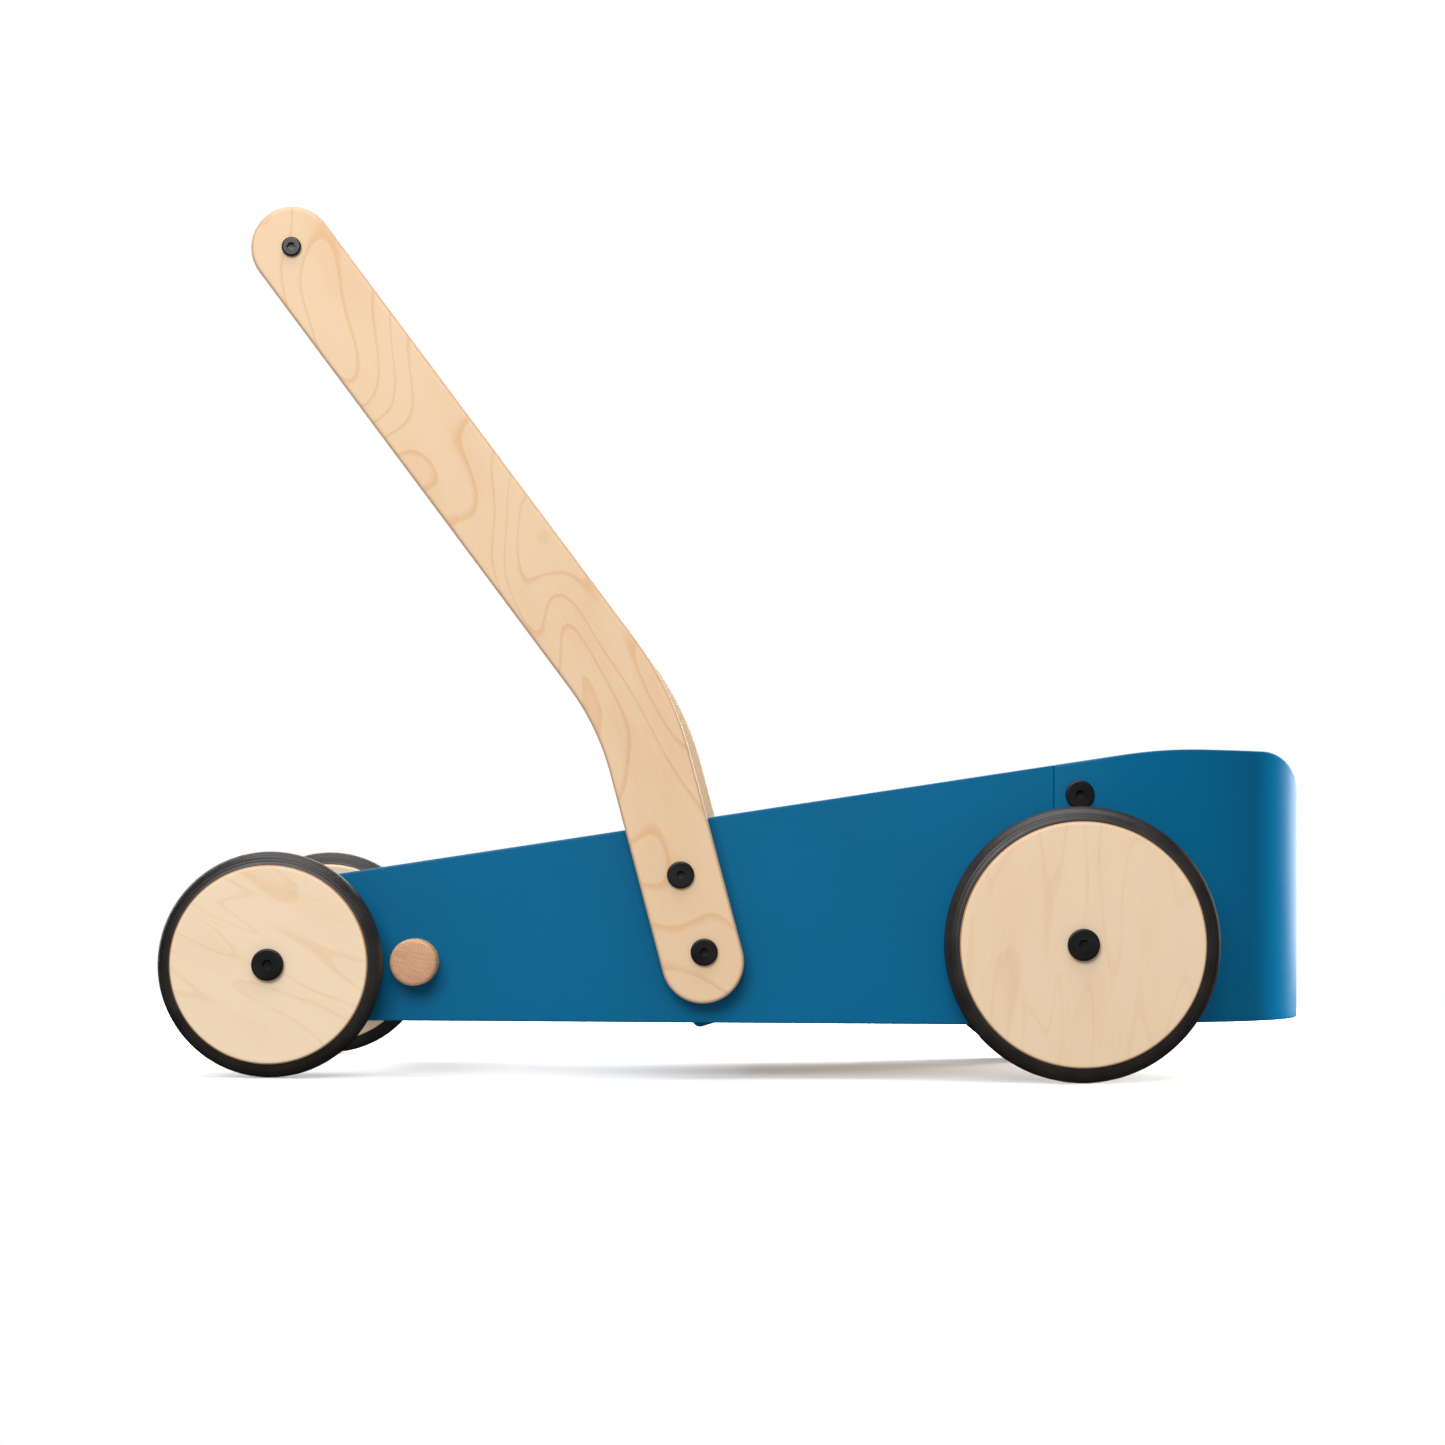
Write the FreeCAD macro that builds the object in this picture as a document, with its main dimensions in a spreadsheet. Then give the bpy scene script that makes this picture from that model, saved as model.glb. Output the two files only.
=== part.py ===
"""Push along truck: a child's wooden push cart with a load box, a bent nose and two bent arms.

Truck coordinates, in millimetres: X runs forward from the rear axle, Y runs across from the
middle (the right-hand side is -Y), Z runs up from the ground.  Every part is then moved back by
half of the overall length, so that the finished model stands on its origin.
"""
import FreeCAD, Part
import math
import os
import re
import Sketcher
from FreeCAD import Rotation, Vector

SIDES = {"right": -1, "left": 1}
UP = Vector(0, 0, 1)

doc = FreeCAD.newDocument("push_along_truck")

# ---------------------------------------------------------------------------------------------
# Driving dimensions: alias, value, meaning
# ---------------------------------------------------------------------------------------------
DIMENSIONS = (
    ("wheelbase", 432.5, "rear axle to front axle"),
    ("body_width", 242, "over the outer faces of the side panels"),
    ("panel_thickness", 9, "plywood of the side panels and the bent nose"),
    ("panel_bottom", 29.8, "ground to the lower edge of the side panels"),
    ("panel_tail", 32, "side panel behind the rear axle"),
    ("tail_corner", 18, "corner radius at the rear end of the side panels"),
    ("seam_behind_axle", 14.1, "front axle back to the seam between side panel and nose"),
    ("seam_height", 169.3, "ground to the top edge at the seam"),
    ("top_rise", 0.1577, "rise of the top edge for each millimetre forward"),
    ("board_round", 1, "rounding of the painted board edges"),
    ("nose_bottom", 31.2, "ground to the lower edge of the nose"),
    ("nose_straight", 23.2, "seam to the start of the half-round nose"),
    ("nose_rise", 9.3, "top edge at the seam up to the highest part of the nose"),
    ("nose_blend", 280, "radius that turns the rising top edge level"),
    ("nose_corner", 27, "radius of the nose's top front corner, seen from the side"),
    ("rear_wheel_dia", 120.4, "rear wheel over its tyre"),
    ("rear_tyre_proud", 7.3, "rear tyre beyond its disc, along the radius"),
    ("front_wheel_dia", 147, "front wheel over its tyre"),
    ("front_tyre_proud", 8.1, "front tyre beyond its disc, along the radius"),
    ("wheel_lip", 2, "wheel disc beyond each side of its tyre"),
    ("wheel_round", 1.4, "rounding of the wheel disc's rims"),
    ("wheel_gap", 9, "side panel to the inner face of a wheel disc"),
    ("tyre_section", 16, "thickness of the round tyre"),
    ("bush_dia", 14, "hub bush, outside"),
    ("bush_proud", 0.2, "hub bush beyond each face of its disc"),
    ("axle_dia", 8, "shank of a wheel bolt"),
    ("axle_clearance", 0.06, "radial play of a hub bush on its bolt"),
    ("axle_bolt_reach", 14, "wheel bolt beyond the inner face of the side panel"),
    ("axle_head_dia", 17.2, "head of a wheel bolt"),
    ("axle_head_height", 3, "head of a wheel bolt"),
    ("axle_key", 5, "hexagon socket of a wheel bolt, across flats"),
    ("end_play", 0.3, "play at each end of a hub bush"),
    ("spacer_dia", 20, "washer stack between side panel and wheel"),
    ("hole_clearance", 0.25, "radial clearance of a bolt hole"),
    ("axle_insert_dia", 12, "threaded insert of a wheel bolt, outside"),
    ("block_thickness", 18, "axle blocks glued inside the panels"),
    ("rear_block_length", 70, "rear axle block, along X"),
    ("rear_block_height", 50, "rear axle block, along Z"),
    ("splice_lap", 34, "front axle block behind the seam"),
    ("splice_drop", 14, "front axle block's top below the top edge at the seam"),
    ("rod_dia", 25, "cross rod"),
    ("rod_gap", 3.3, "rear tyre to the cross rod, seen from the side"),
    ("rod_height", 61.6, "ground to the centre of the cross rod"),
    ("rod_proud", 17, "cross rod beyond each side panel"),
    ("rod_chamfer", 1.4, "chamfer at the ends of the cross rod"),
    ("floor_thickness", 9, "load floor plywood"),
    ("floor_height", 52, "ground to the top of the load floor"),
    ("floor_gap", 0.3, "fitting gap all round the load floor"),
    ("tail_thickness", 9, "tail board plywood"),
    ("tail_above", 12, "tail board above the upper arm bolt, along its lean"),
    ("tail_below", 36, "tail board below the lower arm bolt, along its lean"),
    ("rail_width", 15, "floor rails, across"),
    ("rail_gap", 8, "floor rails in front of the arm backing boards"),
    ("screw_dia", 4, "floor screws"),
    ("screw_head_dia", 8, "heads of the floor screws"),
    ("screw_head_height", 2, "heads of the floor screws"),
    ("screw_length", 18, "floor screws over all"),
    ("arm_width", 44, "handle arm, across its face"),
    ("arm_thickness", 15, "handle arm plywood"),
    ("arm_round", 2, "rounding of the handle arm edges"),
    ("arm_top_x", 7.2, "rear axle to the centre of the arm's top end"),
    ("arm_top_height", 445.2, "ground to the centre of the arm's top end"),
    ("arm_foot_x", 230.6, "rear axle to the centre of the arm's lower end"),
    ("arm_foot_height", 62.6, "ground to the centre of the arm's lower end"),
    ("arm_bend_x", 50.1, "rear axle to the centre of the arm's bend"),
    ("arm_bend_height", 127.9, "ground to the centre of the arm's bend"),
    ("arm_bend_radius", 157, "arm's bend, at its middle line"),
    ("bar_dia", 28, "handle bar"),
    ("bar_bolt_head", 10.5, "head of a handle bar bolt"),
    ("bar_bolt_length", 38, "handle bar bolt under its head"),
    ("bar_insert_dia", 9, "threaded insert of the handle bar, outside"),
    ("bolt_dia", 6, "arm, nose and handle bar bolts"),
    ("bolt_key", 4, "hexagon socket of those bolts, across flats"),
    ("socket_depth", 2, "hexagon sockets"),
    ("bolt_head_height", 2.6, "heads of those bolts"),
    ("head_chamfer", 0.9, "chamfer round every bolt head"),
    ("arm_bolt_head", 14.6, "head of an arm bolt"),
    ("arm_bolt_x", 218.6, "rear axle to the upper arm bolt"),
    ("arm_bolt_height", 109.1, "ground to the upper arm bolt"),
    ("arm_bolt_pitch", 43, "upper arm bolt to the lower one"),
    ("arm_bolt_lean", 0.312, "forward lean of the two arm bolts, for each millimetre down"),
    ("insert_dia", 10, "threaded insert of an arm or nose bolt, outside"),
    ("backing_thickness", 12, "arm backing board"),
    ("backing_width", 35, "arm backing board, across"),
    ("backing_above", 20, "arm backing board above the upper arm bolt"),
    ("backing_below", 38.4, "arm backing board below the lower arm bolt"),
    ("backing_corner", 4, "corner radius of the arm backing board"),
    ("nose_bolt_head", 15.4, "head of a nose bolt"),
    ("nose_bolt_ahead", 13.9, "seam to the nose bolts"),
    ("nose_bolt_height", 153.6, "ground to the upper nose bolt"),
    ("nose_bolt_low", 45, "ground to the lower nose bolt"),
)

sheet = doc.addObject("Spreadsheet::Sheet", "Size")
for row, (alias, value, meaning) in enumerate(DIMENSIONS, start=1):
    sheet.set(f"A{row}", meaning)
    sheet.set(f"B{row}", str(value))
    sheet.setAlias(f"B{row}", alias)
doc.recompute()

ALIASES = {alias for alias, _value, _meaning in DIMENSIONS}

# Lengths that several parts share, each worked out from the sheet.
SEAM_X = "(wheelbase - seam_behind_axle)"
NOSE_X = f"({SEAM_X} + nose_straight)"
FRONT_X = f"({NOSE_X} + body_width / 2)"
MIDDLE = f"(({FRONT_X} - rear_wheel_dia / 2) / 2)"
NOSE_TOP = "(seam_height + nose_rise)"
INNER = "(body_width / 2 - panel_thickness)"
PANEL_Y = "(body_width / 2 - panel_thickness / 2)"
WHEEL_HALF = "(tyre_section / 2 + wheel_lip)"
WHEEL_Y = f"(body_width / 2 + wheel_gap + {WHEEL_HALF})"
ARM_Y = "(body_width / 2 + arm_thickness / 2)"
BLOCK_Y = f"({INNER} - block_thickness / 2)"
BACKING_Y = f"({INNER} - backing_thickness / 2)"
HUB_HALF = f"({WHEEL_HALF} + bush_proud)"
AXLE_SEAT = f"({WHEEL_Y} + {HUB_HALF} + end_play)"
BLOCK_BACK = f"({SEAM_X} - splice_lap)"
NOSE_BOLT_X = f"({SEAM_X} + nose_bolt_ahead)"
ROD_X = "(rear_wheel_dia / 2 + rod_gap + rod_dia / 2)"
LEAN = "sqrt(1 + arm_bolt_lean * arm_bolt_lean)"
AXLES = {"rear": ("0", "(rear_wheel_dia / 2)"), "front": ("wheelbase", "(front_wheel_dia / 2)")}
ARM_BOLTS = (
    ("arm_bolt_x", "arm_bolt_height"),
    (f"(arm_bolt_x + arm_bolt_pitch * arm_bolt_lean / {LEAN})",
     f"(arm_bolt_height - arm_bolt_pitch / {LEAN})"),
)
NOSE_BOLTS = ((NOSE_BOLT_X, "nose_bolt_height"), (NOSE_BOLT_X, "nose_bolt_low"))
BAR = ("arm_top_x", "arm_top_height")


def top_edge(x):
    """Height of the straight top edge at x."""
    return f"(seam_height - ({SEAM_X} - {x}) * top_rise)"


# ---------------------------------------------------------------------------------------------
# Small tools
# ---------------------------------------------------------------------------------------------
def bound(expression):
    """The expression with every dimension's name pointed at the sheet."""
    def point(word):
        return f"Size.{word[0]}" if word[0] in ALIASES else word[0]

    return re.sub(r"[a-z_]+", point, str(expression))


def measure(expression):
    """The present value of an expression, in millimetres."""
    return float(sheet.evalExpression(bound(expression)))


def new_body(name):
    body = doc.addObject("PartDesign::Body", name)
    body.Label = name
    return body


def place(part, x="0", y="0", z="0", about_up=0):
    """Bind a part's position to the sheet; x is counted from the rear axle."""
    part.Placement.Rotation = Rotation(UP, about_up)
    part.setExpression("Placement.Base.x", bound(f"{x} - {MIDDLE}"))
    part.setExpression("Placement.Base.y", bound(y))
    part.setExpression("Placement.Base.z", bound(z))


def new_sketch(body, name, plane="XZ_Plane", lift="0"):
    """An empty sketch on one of the body's own planes, lifted along the plane's normal."""
    sketch = body.newObject("Sketcher::SketchObject", f"{body.Name}_{name}")
    support = next(item for item in body.Origin.OriginFeatures if item.Role == plane)
    sketch.AttachmentSupport = (support, "")
    sketch.MapMode = "FlatFace"
    sketch.setExpression("AttachmentOffset.Base.z", bound(lift))
    return sketch


def pin(sketch, curve, point, x=None, y=None):
    """Hold a curve's point at the given distances from the sketch's origin."""
    for kind, expression in (("DistanceX", x), ("DistanceY", y)):
        if expression is not None:
            index = sketch.addConstraint(Sketcher.Constraint(kind, -1, 1, curve, point, measure(expression)))
            sketch.setExpression(f"Constraints[{index}]", bound(expression))


def add_circle(sketch, x, y, diameter):
    centre = Vector(measure(x), measure(y), 0)
    curve = sketch.addGeometry(Part.Circle(centre, UP, measure(diameter) / 2), False)
    pin(sketch, curve, 3, x, y)
    index = sketch.addConstraint(Sketcher.Constraint("Diameter", curve, measure(diameter)))
    sketch.setExpression(f"Constraints[{index}]", bound(diameter))


def add_outline(sketch, corners, arcs=None):
    """A closed outline through the corners.

    arcs maps the number of a corner where an arc starts to (centre x, centre y, clockwise).
    """
    arcs = arcs or {}
    points = [Vector(measure(x), measure(y), 0) for x, y in corners]
    count = len(corners)
    ends = []
    for number, start in enumerate(points):
        stop = points[(number + 1) % count]
        if number in arcs:
            centre_x, centre_y, clockwise = arcs[number]
            centre = Vector(measure(centre_x), measure(centre_y), 0)
            first, last = (stop, start) if clockwise else (start, stop)
            angles = [math.atan2(p.y - centre.y, p.x - centre.x) for p in (first, last)]
            circle = Part.Circle(centre, UP, (start - centre).Length)
            curve = sketch.addGeometry(Part.ArcOfCircle(circle, angles[0], angles[1]), False)
            chord = stop - start
            if abs(chord.x) > abs(chord.y):
                pin(sketch, curve, 3, y=centre_y)
            else:
                pin(sketch, curve, 3, x=centre_x)
            ends.append((curve, 2, 1) if clockwise else (curve, 1, 2))
        else:
            curve = sketch.addGeometry(Part.LineSegment(start, stop), False)
            ends.append((curve, 1, 2))
    for number, (curve, _first, last) in enumerate(ends):
        following, start_of, _last = ends[(number + 1) % count]
        sketch.addConstraint(Sketcher.Constraint("Coincident", curve, last, following, start_of))
    for (curve, first, _last), (x, y) in zip(ends, corners):
        pin(sketch, curve, first, x, y)


def pad(body, sketch, length, symmetric=False):
    feature = body.newObject("PartDesign::Pad", f"{body.Name}_pad")
    feature.Profile = sketch
    feature.SideType = "Symmetric" if symmetric else "One side"
    feature.setExpression("Length", bound(length))
    doc.recompute()
    return feature


def pocket(body, sketch, length, symmetric=False):
    """Cut the sketch out of the body, against the sketch's normal, and make sure that it cuts."""
    before = body.Shape.Volume
    feature = body.newObject("PartDesign::Pocket", f"{body.Name}_pocket")
    feature.Profile = sketch
    feature.SideType = "Symmetric" if symmetric else "One side"
    feature.setExpression("Length", bound(length))
    doc.recompute()
    if not body.Shape.Volume < before - 0.001:
        raise RuntimeError(f"{sketch.Name} cuts nothing")
    return feature


def turn(body, sketch):
    """Revolve the sketch about the body's Y axis."""
    feature = body.newObject("PartDesign::Revolution", f"{body.Name}_turned")
    feature.Profile = sketch
    feature.ReferenceAxis = (sketch, ["V_Axis"])
    feature.Angle = 360
    doc.recompute()
    return feature


def dress(body, kind, size, wanted):
    """Round or chamfer the tip's edges that pass the test."""
    base = body.Tip
    edges = [f"Edge{n}" for n, edge in enumerate(base.Shape.Edges, start=1) if wanted(edge)]
    feature = body.newObject(f"PartDesign::{kind}", f"{body.Name}_{kind.lower()}")
    feature.Base = (base, edges)
    feature.setExpression("Radius" if kind == "Fillet" else "Size", bound(size))
    doc.recompute()
    return feature


def lies_at(axis, *levels):
    """A test for edges that lie flat at one of the levels along an axis."""
    heights = [measure(level) for level in levels]

    def test(edge):
        box = edge.BoundBox
        low, high = getattr(box, f"{axis}Min"), getattr(box, f"{axis}Max")
        return any(abs(low - height) < 0.01 and abs(high - height) < 0.01 for height in heights)

    return test


def stands_at(x, z):
    """A test for edges that run across the truck at one place of the side view."""
    place_x, place_z = measure(x), measure(z)

    def test(edge):
        middle = edge.BoundBox.Center
        narrow = max(edge.BoundBox.XLength, edge.BoundBox.ZLength) < 0.01
        return narrow and abs(middle.x - place_x) < 0.01 and abs(middle.z - place_z) < 0.01

    return test


def either(*tests):
    return lambda edge: any(test(edge) for test in tests)


def group(name, members):
    """Identical small pieces, kept as separate solids of one part."""
    compound = doc.addObject("Part::Compound", name)
    compound.Label = name
    compound.Links = members
    return compound


def board(name, corners, thickness, arcs=None, lift="0", plane="XZ_Plane"):
    """A flat board: an outline padded by its thickness."""
    body = new_body(name)
    sketch = new_sketch(body, "outline", plane, lift)
    add_outline(sketch, corners, arcs)
    pad(body, sketch, thickness, symmetric=(plane == "XZ_Plane"))
    return body


def drill(body, name, holes, diameter, depth, plane="XZ_Plane", lift="0", symmetric=True):
    """Round holes of one size in a body."""
    sketch = new_sketch(body, name, plane, lift)
    for x, y in holes:
        add_circle(sketch, x, y, diameter)
    pocket(body, sketch, depth, symmetric)


def tube(name, outer, inner, length):
    """A tube about the body's own Y axis, centred on it."""
    body = new_body(name)
    sketch = new_sketch(body, "ring")
    add_circle(sketch, "0", "0", outer)
    add_circle(sketch, "0", "0", inner)
    pad(body, sketch, length, symmetric=True)
    return body


def bolt(name, shank, length, head, height, key):
    """A flat-headed socket bolt about Y: head towards -Y, its seat at y = 0."""
    body = new_body(name)
    profile = new_sketch(body, "profile", "XY_Plane")
    add_outline(profile, (
        ("0", f"-{height}"),
        (f"{head} / 2 - head_chamfer", f"-{height}"),
        (f"{head} / 2", f"head_chamfer - {height}"),
        (f"{head} / 2", "0"),
        (f"{shank} / 2", "0"),
        (f"{shank} / 2", f"{length}"),
        ("0", f"{length}"),
    ))
    turn(body, profile)
    socket = new_sketch(body, "socket", "XZ_Plane", height)
    radius = f"{key} / sqrt(3)"
    rise = f"{radius} * sqrt(3) / 2"
    corners = ((0.5, 1), (1, 0), (0.5, -1), (-0.5, -1), (-1, 0), (-0.5, 1))
    add_outline(socket, [(f"{radius} * {across}", f"{rise} * {up}") for across, up in corners])
    pocket(body, socket, "socket_depth")
    return body


def face_outwards(side):
    """Turn about Z that points a piece's -Y end out of the given side."""
    return 0 if side < 0 else 180


# ---------------------------------------------------------------------------------------------
# Body of the truck: side panels, nose, floor, tail board and the pieces glued inside
# ---------------------------------------------------------------------------------------------
def make_side_panel(name, side):
    tail = "-panel_tail"
    body = board(name, ((tail, "panel_bottom"), (SEAM_X, "panel_bottom"),
                        (SEAM_X, top_edge(SEAM_X)), (tail, top_edge(tail))), "panel_thickness")
    dress(body, "Fillet", "tail_corner",
          either(stands_at(tail, "panel_bottom"), stands_at(tail, top_edge(tail))))
    dress(body, "Fillet", "board_round", lies_at("Y", "panel_thickness / 2", "-panel_thickness / 2"))
    drill(body, "rod_hole", [(ROD_X, "rod_height")], "rod_dia", "panel_thickness * 2")
    drill(body, "axle_hole", [AXLES["rear"]], "axle_dia + 2 * hole_clearance", "panel_thickness * 2")
    drill(body, "arm_holes", ARM_BOLTS, "bolt_dia + 2 * hole_clearance", "panel_thickness * 2")
    place(body, y=f"{side} * {PANEL_Y}")
    return body


def make_nose_panel():
    """Plywood bent round the front, cut to its side view before its edges are rounded."""
    body = new_body("nose_panel")
    outer, inner = "body_width / 2", INNER
    plan = new_sketch(body, "plan", "XY_Plane", "nose_bottom")
    add_outline(plan, (
        (SEAM_X, f"-{outer}"), (NOSE_X, f"-{outer}"), (NOSE_X, outer), (SEAM_X, outer),
        (SEAM_X, inner), (NOSE_X, inner), (NOSE_X, f"-{inner}"), (SEAM_X, f"-{inner}"),
    ), arcs={1: (NOSE_X, "0", False), 5: (NOSE_X, "0", True)})
    pad(body, plan, f"{NOSE_TOP} - nose_bottom")
    slant = "sqrt(1 + top_rise * top_rise)"
    crest = f"({SEAM_X} + nose_rise / top_rise)"
    reach = f"(nose_blend * ({slant} - 1) / top_rise)"
    corner_x, corner_z = f"({FRONT_X} - nose_corner)", f"({NOSE_TOP} - nose_corner)"
    back, over, ahead = f"({SEAM_X} - 5)", f"({NOSE_TOP} + 20)", f"({FRONT_X} + 5)"
    side_view = new_sketch(body, "side_view")
    add_outline(side_view, (
        (back, over), (back, top_edge(back)),
        (f"{crest} - {reach} / {slant}", f"{NOSE_TOP} - {reach} * top_rise / {slant}"),
        (f"{crest} + {reach}", NOSE_TOP),
        (corner_x, NOSE_TOP), (FRONT_X, corner_z), (ahead, corner_z), (ahead, over),
    ), arcs={2: (f"{crest} + {reach}", f"{NOSE_TOP} - nose_blend", True), 4: (corner_x, corner_z, True)})
    pocket(body, side_view, "body_width * 2", symmetric=True)
    drill(body, "bolt_holes", NOSE_BOLTS, "bolt_dia + 2 * hole_clearance", "body_width * 2")
    drill(body, "axle_holes", [AXLES["front"]], "axle_dia + 2 * hole_clearance", "body_width * 2")
    place(body)
    return body


def make_floor():
    """The load floor, round at the front like the nose, with notches for the pieces inside the panels."""
    body = new_body("floor_board")
    outline = new_sketch(body, "outline", "XY_Plane", FLOOR_LOW)
    half = f"({INNER} - floor_gap)"
    add_outline(outline, ((FLOOR_START, f"-{half}"), (NOSE_X, f"-{half}"),
                          (NOSE_X, half), (FLOOR_START, half)), arcs={1: (NOSE_X, "0", False)})
    pad(body, outline, "floor_thickness")
    notches = (
        ("backing", f"({FLOOR_START} - floor_gap)", NOTCH_FRONT, "backing_thickness"),
        ("block", f"({BLOCK_BACK} - floor_gap)", f"({NOSE_X} + floor_gap)", "block_thickness"),
    )
    for where, back, front, thickness in notches:
        depth = f"({INNER} - {thickness} - floor_gap)"
        for name, side in SIDES.items():
            cut = new_sketch(body, f"{where}_notch_{name}", "XY_Plane", "floor_height")
            add_outline(cut, ((back, f"{side} * {depth}"), (front, f"{side} * {depth}"),
                              (front, f"{side} * body_width"), (back, f"{side} * body_width")))
            pocket(body, cut, "floor_thickness")
    drill(body, "shank_holes", SCREWS, "screw_dia", "floor_thickness", "XY_Plane", "floor_height", False)
    drill(body, "head_holes", SCREWS, "screw_head_dia", "screw_head_height",
          "XY_Plane", "floor_height", False)
    place(body)
    return body


def backing_x(height):
    """The middle line of the arm backing board at a height: the line through the two arm bolts."""
    return f"(arm_bolt_x + (arm_bolt_height - ({height})) * arm_bolt_lean)"


FLOOR_LOW = "floor_height - floor_thickness"
FLOOR_START = f"({backing_x(FLOOR_LOW)} + tail_thickness / 2 * {LEAN} + floor_gap)"
NOTCH_FRONT = f"({backing_x(FLOOR_LOW)} + backing_width / 2 * {LEAN} + floor_gap)"
RAIL_START = f"({NOTCH_FRONT} + rail_gap)"
RAIL_Y = f"({INNER} - rail_width / 2)"
SCREW_XS = [f"({RAIL_START} + ({BLOCK_BACK} - {RAIL_START}) * {share})" for share in (0.12, 0.5, 0.88)]
SCREWS = [(x, f"{side} * {RAIL_Y}") for side in SIDES.values() for x in SCREW_XS]


def make_floor_rail(name, side):
    """A strip glued to the side panel, which carries the floor."""
    low = "panel_bottom + board_round"
    corners = ((RAIL_START, low), (BLOCK_BACK, low), (BLOCK_BACK, FLOOR_LOW), (RAIL_START, FLOOR_LOW))
    body = board(name, corners, "rail_width")
    drill(body, "screw_holes", [(x, "0") for x in SCREW_XS], "screw_dia", "screw_length - floor_thickness",
          "XY_Plane", FLOOR_LOW, symmetric=False)
    place(body, y=f"{side} * {RAIL_Y}")
    return body


def make_screw(name, x, y):
    """A socket screw that points down, its head sunk level with the floor."""
    body = new_body(name)
    shank = new_sketch(body, "shank", "XY_Plane", "-screw_length")
    add_circle(shank, "0", "0", "screw_dia")
    pad(body, shank, "screw_length")
    head = new_sketch(body, "head", "XY_Plane", "-screw_head_height")
    add_circle(head, "0", "0", "screw_head_dia")
    pad(body, head, "screw_head_height")
    socket = new_sketch(body, "socket", "XY_Plane")
    add_circle(socket, "0", "0", "screw_dia * 3 / 4")
    pocket(body, socket, "screw_head_height / 2")
    place(body, x, y, "floor_height")
    return body


def leaning_board(name, width, above, below, thickness):
    """A board whose outline leans with the arm bolts, from above the upper bolt to below the lower one."""
    along = (f"(arm_bolt_lean / {LEAN})", f"(-1 / {LEAN})")
    across = (f"(1 / {LEAN})", f"(arm_bolt_lean / {LEAN})")
    (top_x, top_z), (low_x, low_z) = ARM_BOLTS
    ends = ((top_x, top_z, f"-{above}", -1), (low_x, low_z, below, -1),
            (low_x, low_z, below, 1), (top_x, top_z, f"-{above}", 1))
    corners = [(f"{x} + {run} * {along[0]} + {half} * {width} / 2 * {across[0]}",
                f"{z} + {run} * {along[1]} + {half} * {width} / 2 * {across[1]}") for x, z, run, half in ends]
    return board(name, corners, thickness), corners


def make_tail_board():
    """The rear wall of the load box, glued between the two arm backing boards."""
    body, _corners = leaning_board("tail_board", "tail_thickness", "tail_above", "tail_below",
                                   f"2 * ({INNER} - backing_thickness)")
    place(body)
    return body


def make_rear_block(name, side):
    """A block glued inside the side panel, which takes the rear wheel's bolt."""
    x, z = AXLES["rear"]
    back, front = "-(panel_tail - board_round * 2)", "rear_block_length / 2"
    low, high = f"{z} - rear_block_height / 2", f"{z} + rear_block_height / 2"
    body = board(name, ((back, low), (front, low), (front, high), (back, high)), "block_thickness")
    drill(body, "insert_hole", [(x, z)], "axle_insert_dia", "block_thickness * 2")
    place(body, y=f"{side} * {BLOCK_Y}")
    return body


def make_front_block(name, side):
    """A block that joins side panel and nose from inside and takes the nose bolts and the wheel bolt."""
    low, top = "nose_bottom + board_round", "seam_height - splice_drop"
    body = board(name, ((BLOCK_BACK, low), (NOSE_X, low), (NOSE_X, top),
                        (BLOCK_BACK, f"{top} - splice_lap * top_rise")), "block_thickness")
    drill(body, "axle_insert_hole", [AXLES["front"]], "axle_insert_dia", "block_thickness * 2")
    drill(body, "nose_insert_holes", NOSE_BOLTS, "insert_dia", "block_thickness * 2")
    place(body, y=f"{side} * {BLOCK_Y}")
    return body


def make_backing(name, side):
    """The board inside the side panel that the arm bolts screw into."""
    body, corners = leaning_board(name, "backing_width", "backing_above", "backing_below",
                                  "backing_thickness")
    dress(body, "Fillet", "backing_corner", either(*(stands_at(x, z) for x, z in corners)))
    dress(body, "Fillet", "board_round", lies_at("Y", "backing_thickness / 2", "-backing_thickness / 2"))
    drill(body, "insert_holes", ARM_BOLTS, "insert_dia", "backing_thickness * 2")
    place(body, y=f"{side} * {BACKING_Y}")
    return body


def make_cross_rod():
    """The beech rod through both side panels, which stands proud on each side."""
    body = new_body("cross_rod")
    section = new_sketch(body, "section")
    add_circle(section, ROD_X, "rod_height", "rod_dia")
    length = "(body_width + 2 * rod_proud)"
    pad(body, section, length, symmetric=True)
    dress(body, "Chamfer", "rod_chamfer", lies_at("Y", f"{length} / 2", f"-{length} / 2"))
    place(body)
    return body


# ---------------------------------------------------------------------------------------------
# Handle: two bent arms and the bar between their top ends
# ---------------------------------------------------------------------------------------------
def rotated(vector, angle):
    turned = Vector(vector)
    return Rotation(UP, math.degrees(angle)).multVec(turned)


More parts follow.
